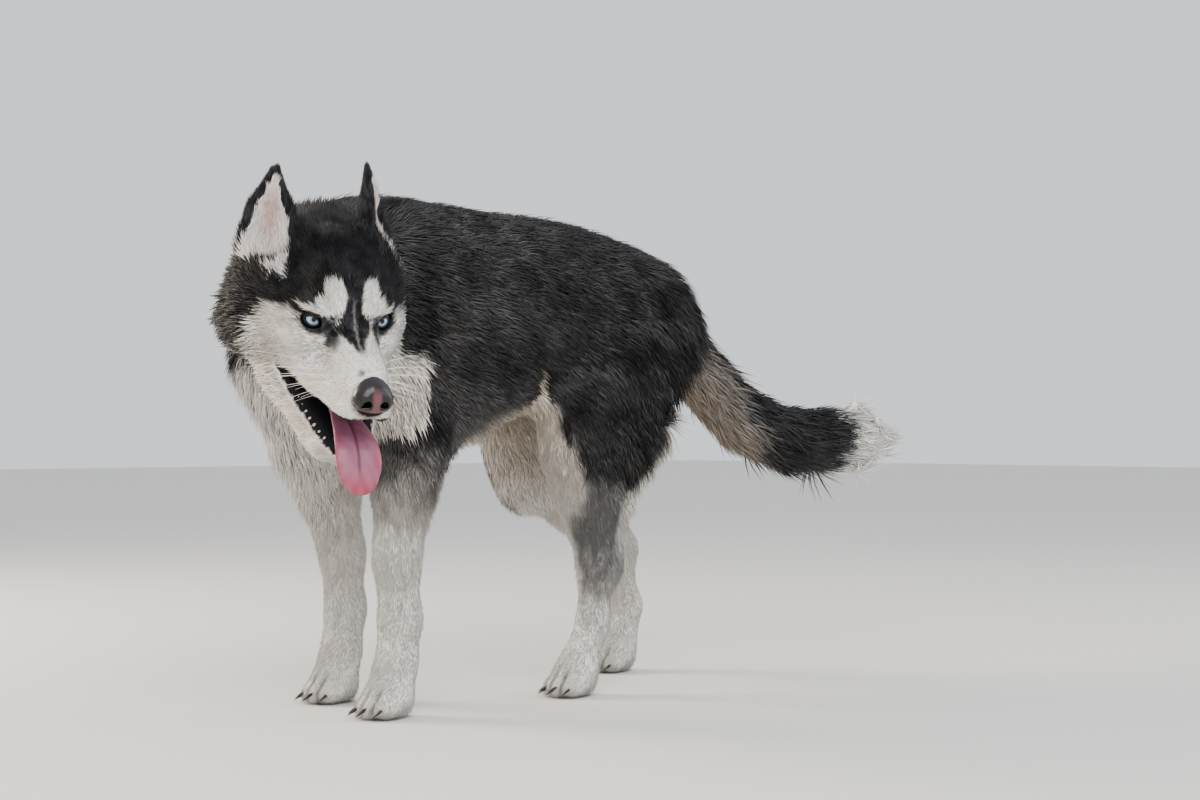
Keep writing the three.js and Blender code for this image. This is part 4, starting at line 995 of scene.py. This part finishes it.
def lid_ring(side, half_wide, half_high):
    """A closed line round the opening of an eye, just above the eyeball."""
    out = unit(U * side * 0.42 + V + W * 0.05)
    slant = U * side - V * 0.4 + W * 0.3
    across = unit(slant - out * (slant @ out))
    up = np.cross(across, out) * side
    ring = []
    for a in np.linspace(0, 2 * math.pi, 40, endpoint=False):
        spread = half_wide * math.cos(a)
        rise = half_high * math.sin(a) * (1 - 0.25 * abs(math.cos(a)))
        away = unit(out * 13.2 + across * spread + up * rise) * (EYE_RADIUS + 0.4)
        ring.append(to_frame(eye_at(side) + away))
    return ring


for side, label in ((-1, "left"), (1, "right")):
    rings = [lid_ring(side, *size) for size in LID_RINGS]
    tubes(f"lid_{label}", rings, 0.0014, lid_finish, "nose_leather", cyclic=True)


# Nose

NOSE_DARK = np.array((0.022, 0.018, 0.02))
NOSE_PINK = np.array((0.20, 0.085, 0.085))
NOSTRIL = (8.8, -41, 5.2)  # beside the middle, up and radius

nose = remeshed(merged_copy(["nose"], "nose_leather"), 0.0009)
smoothed(nose.data, 5, 1.0)
u, v, w = head_axes(from_frame(points_of(nose.data)))
pink_middle = soft(4.4 - np.abs(u), 1.5) * soft(-w - 27, 3)
pink_below = soft(-w - 46, 2) * soft(16 - np.abs(u), 4) * 0.8
# The nostrils are painted near-black, as painted shade for the hollows of the openings
nostrils = soft(NOSTRIL[2] - np.hypot(np.abs(u) - NOSTRIL[0], w - NOSTRIL[1]), 1.2) * (v > MUZZLE)
leather = mix(NOSE_DARK, NOSE_PINK, np.maximum(pink_middle, pink_below) * 0.85)
paint(nose.data, mix(leather, BLACK * 0.3, nostrils))
nose_finish, tree, shader = surface("damp_nose", roughness=0.32, Coat_Weight=0.25, Coat_Roughness=0.2)
painted(tree, shader)
bumped(tree, shader, 1500, 0.35, 0.0004)
shade_smooth(nose.data)
nose.data.materials.clear()
nose.data.materials.append(nose_finish)
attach(nose, "root")
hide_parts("nose")


# Tongue

TONGUE_FLESH = np.array((0.34, 0.125, 0.20))
TONGUE_RED = np.array((0.40, 0.055, 0.09))
TONGUE_PALE = np.array((0.42, 0.20, 0.28))
TONGUE_GROOVE = np.array((0.14, 0.035, 0.06))

tongue = remeshed(merged_copy(["tongue"], "wet_tongue"), 0.0012)
smoothed(tongue.data, 6, 1.0)
tongue_points = from_frame(points_of(tongue.data))
u, _, _ = head_axes(tongue_points)
above_tip = tongue_points[:, 2] - tongue_points[:, 2].min()
# The groove down the middle of the tongue is darkened with painted shade
groove = soft(1.5 - np.abs(u + 0.4), 1) * soft(above_tip - 22, 8)
ruddy = np.maximum(soft(16 - above_tip, 14), soft(np.abs(u) - 19, 5) * 0.7)
flesh = mix(TONGUE_FLESH, TONGUE_RED, ruddy)
flesh = mix(flesh, TONGUE_PALE, soft(noise(tongue_points, 14), 0.9) * 0.4)
paint(tongue.data, mix(flesh, TONGUE_GROOVE, groove * 0.8))
tongue_finish, tree, shader = surface(
    "wet_tongue", (0.40, 0.115, 0.175), 0.42,
    Coat_Weight=0.2, Coat_Roughness=0.25, Subsurface_Weight=0.15, Subsurface_Scale=0.004,
)
painted(tree, shader)
bumped(tree, shader, 1300, 0.5, 0.0005)
shade_smooth(tongue.data)
tongue.data.materials.clear()
tongue.data.materials.append(tongue_finish)
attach(tongue, "root")
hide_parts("tongue")


# Teeth and claws

JAW_WIDTH = [(10, 43), (55, 31), (92, 17)]  # v, and how far beside the middle the lower teeth stand
tooth_finish, _, _ = surface("tooth", (0.60, 0.54, 0.44), 0.3)
claw_finish, _, _ = surface("claw_horn", (0.03, 0.026, 0.024), 0.35)


def cone(bm, foot, tip, radius):
    """Adds a pointed tooth or claw that stands from foot to tip."""
    foot, tip = Vector(to_frame(foot)), Vector(to_frame(tip))
    made = bmesh.ops.create_cone(
        bm, cap_ends=True, segments=12, radius1=radius / 1000, radius2=radius * 0.12 / 1000,
        depth=(tip - foot).length,
    )
    turn = (tip - foot).to_track_quat("Z", "Y").to_matrix()
    bmesh.ops.rotate(bm, verts=made["verts"], cent=Vector(), matrix=turn)
    bmesh.ops.translate(bm, verts=made["verts"], vec=(foot + tip) / 2)


bm = bmesh.new()
for side in (-1, 1):
    cone(bm, on_jaw(side * 13, 86, -60), on_jaw(side * 14.5, 90, -48), 2.8)
    for i in range(8):
        v = 76 - i * 9
        u = follow(v, JAW_WIDTH)
        cone(bm, on_jaw(side * u, v, -62), on_jaw(side * (u + 0.4), v + 1, -57.5 - (i % 2)), 2.3)
    cone(bm, on_head(side * 15, 84, -56), on_head(side * 16, 88, -71), 3.2)
for i in range(6):
    u = (i - 2.5) * 4
    cone(bm, on_jaw(u, 94 - abs(u) * 0.25, -60), on_jaw(u, 95 - abs(u) * 0.25, -54), 1.9)
finished("teeth", mesh_from(bm, "teeth"), tooth_finish, "pale_coat")

bm = bmesh.new()
for x, y, wide in PAWS:
    for toe in (-1.5, -0.5, 0.5, 1.5):
        back = 12 if abs(toe) > 1 else 0
        foot = np.array((x - 28 + back, y + toe * wide * 0.5, 14))
        cone(bm, foot, foot + (-16, toe * 0.6, -8), 2.7)
finished("claws", mesh_from(bm, "claws"), claw_finish, "nose_leather")


# Whiskers

whisker_finish, _, _ = surface("whisker", (0.85, 0.83, 0.8), 0.4)
WHISKER_RADIUS = 0.00042  # metres
WHISKER_SAG = np.array((0, 0, -0.12))  # share of the length, at the tip


def whisker(side, row, i):
    """A strand from the muzzle that sags towards its tip."""
    foot = on_head(side * (24 + i * 2.5), 66 - i * 12, -38 - row * 6)
    way = U * side * 1.2 + V * (0.2 - 0.3 * i) + W * (0.05 - 0.16 * row)
    way = unit(way + rng.normal(size=3) * 0.08)
    length = 44 + 11 * i + rng.uniform(-6, 6)
    return [to_frame(foot + (way * s + WHISKER_SAG * s * s) * length) for s in np.linspace(0, 1, 7)]


strands = [whisker(side, row, i) for side in (-1, 1) for row in range(3) for i in range(4)]
tubes("whiskers", strands, WHISKER_RADIUS, whisker_finish, "pale_coat", tip=0.25)


# Floor, light and camera

FLOOR_HALF = 14  # metres
CAMERA_AT = (-1346.84, -1863.03, 313)  # set so that the dog stands in the picture as in the photo
CAMERA_TILT = math.atan(32 / 2000)
SIGHT = (0.6691, 0.7431)  # the camera's line of sight, seen from above

bm = bmesh.new()
bmesh.ops.create_grid(bm, x_segments=1, y_segments=1, size=FLOOR_HALF)
floor = mesh_from(bm, "floor")
ground = bpy.data.objects.new("floor", floor)
SCENE.collection.objects.link(ground)
floor_finish, _, _ = surface("pale_floor", (0.74, 0.73, 0.71), 0.85)
floor.materials.append(floor_finish)

world = bpy.data.worlds.new("studio")
SCENE.world = world
world.use_nodes = True
world.node_tree.nodes["Background"].inputs["Color"].default_value = (0.90, 0.92, 0.95, 1)
world.node_tree.nodes["Background"].inputs["Strength"].default_value = 0.85


def lamp(name, place, target, size, power, colour):
    """A square lamp that points at the target."""
    light = bpy.data.lights.new(name, "AREA")
    light.size = size
    light.energy = power
    light.color = colour
    holder = bpy.data.objects.new(name, light)
    SCENE.collection.objects.link(holder)
    holder.location = Vector(place)
    holder.rotation_mode = "QUATERNION"
    holder.rotation_quaternion = (Vector(target) - Vector(place)).to_track_quat("-Z", "Y")


middle = (-0.1, 0, 0.35)
lamp("key", (-1.6, -2.3, 2.2), middle, 1.8, 56, (1.0, 0.98, 0.95))
lamp("rim", (-1.4, 2.2, 1.5), middle, 1.2, 60, (1.0, 0.86, 0.68))
lamp("fill", (2.4, -1.6, 1.4), middle, 2.0, 22, (0.95, 0.97, 1.0))

camera = bpy.data.objects.new("camera", bpy.data.cameras.new("camera"))
SCENE.collection.objects.link(camera)
camera.data.sensor_width = 36
camera.data.lens = 60
camera.location = Vector(to_frame(CAMERA_AT))
level = math.cos(CAMERA_TILT)
looks = Vector((SIGHT[0] * level, SIGHT[1] * level, math.sin(CAMERA_TILT)))
camera.rotation_mode = "QUATERNION"
camera.rotation_quaternion = looks.to_track_quat("-Z", "Y")
SCENE.camera = camera
SCENE.view_settings.view_transform = "AgX"
SCENE.view_settings.look = "AgX - Medium High Contrast"
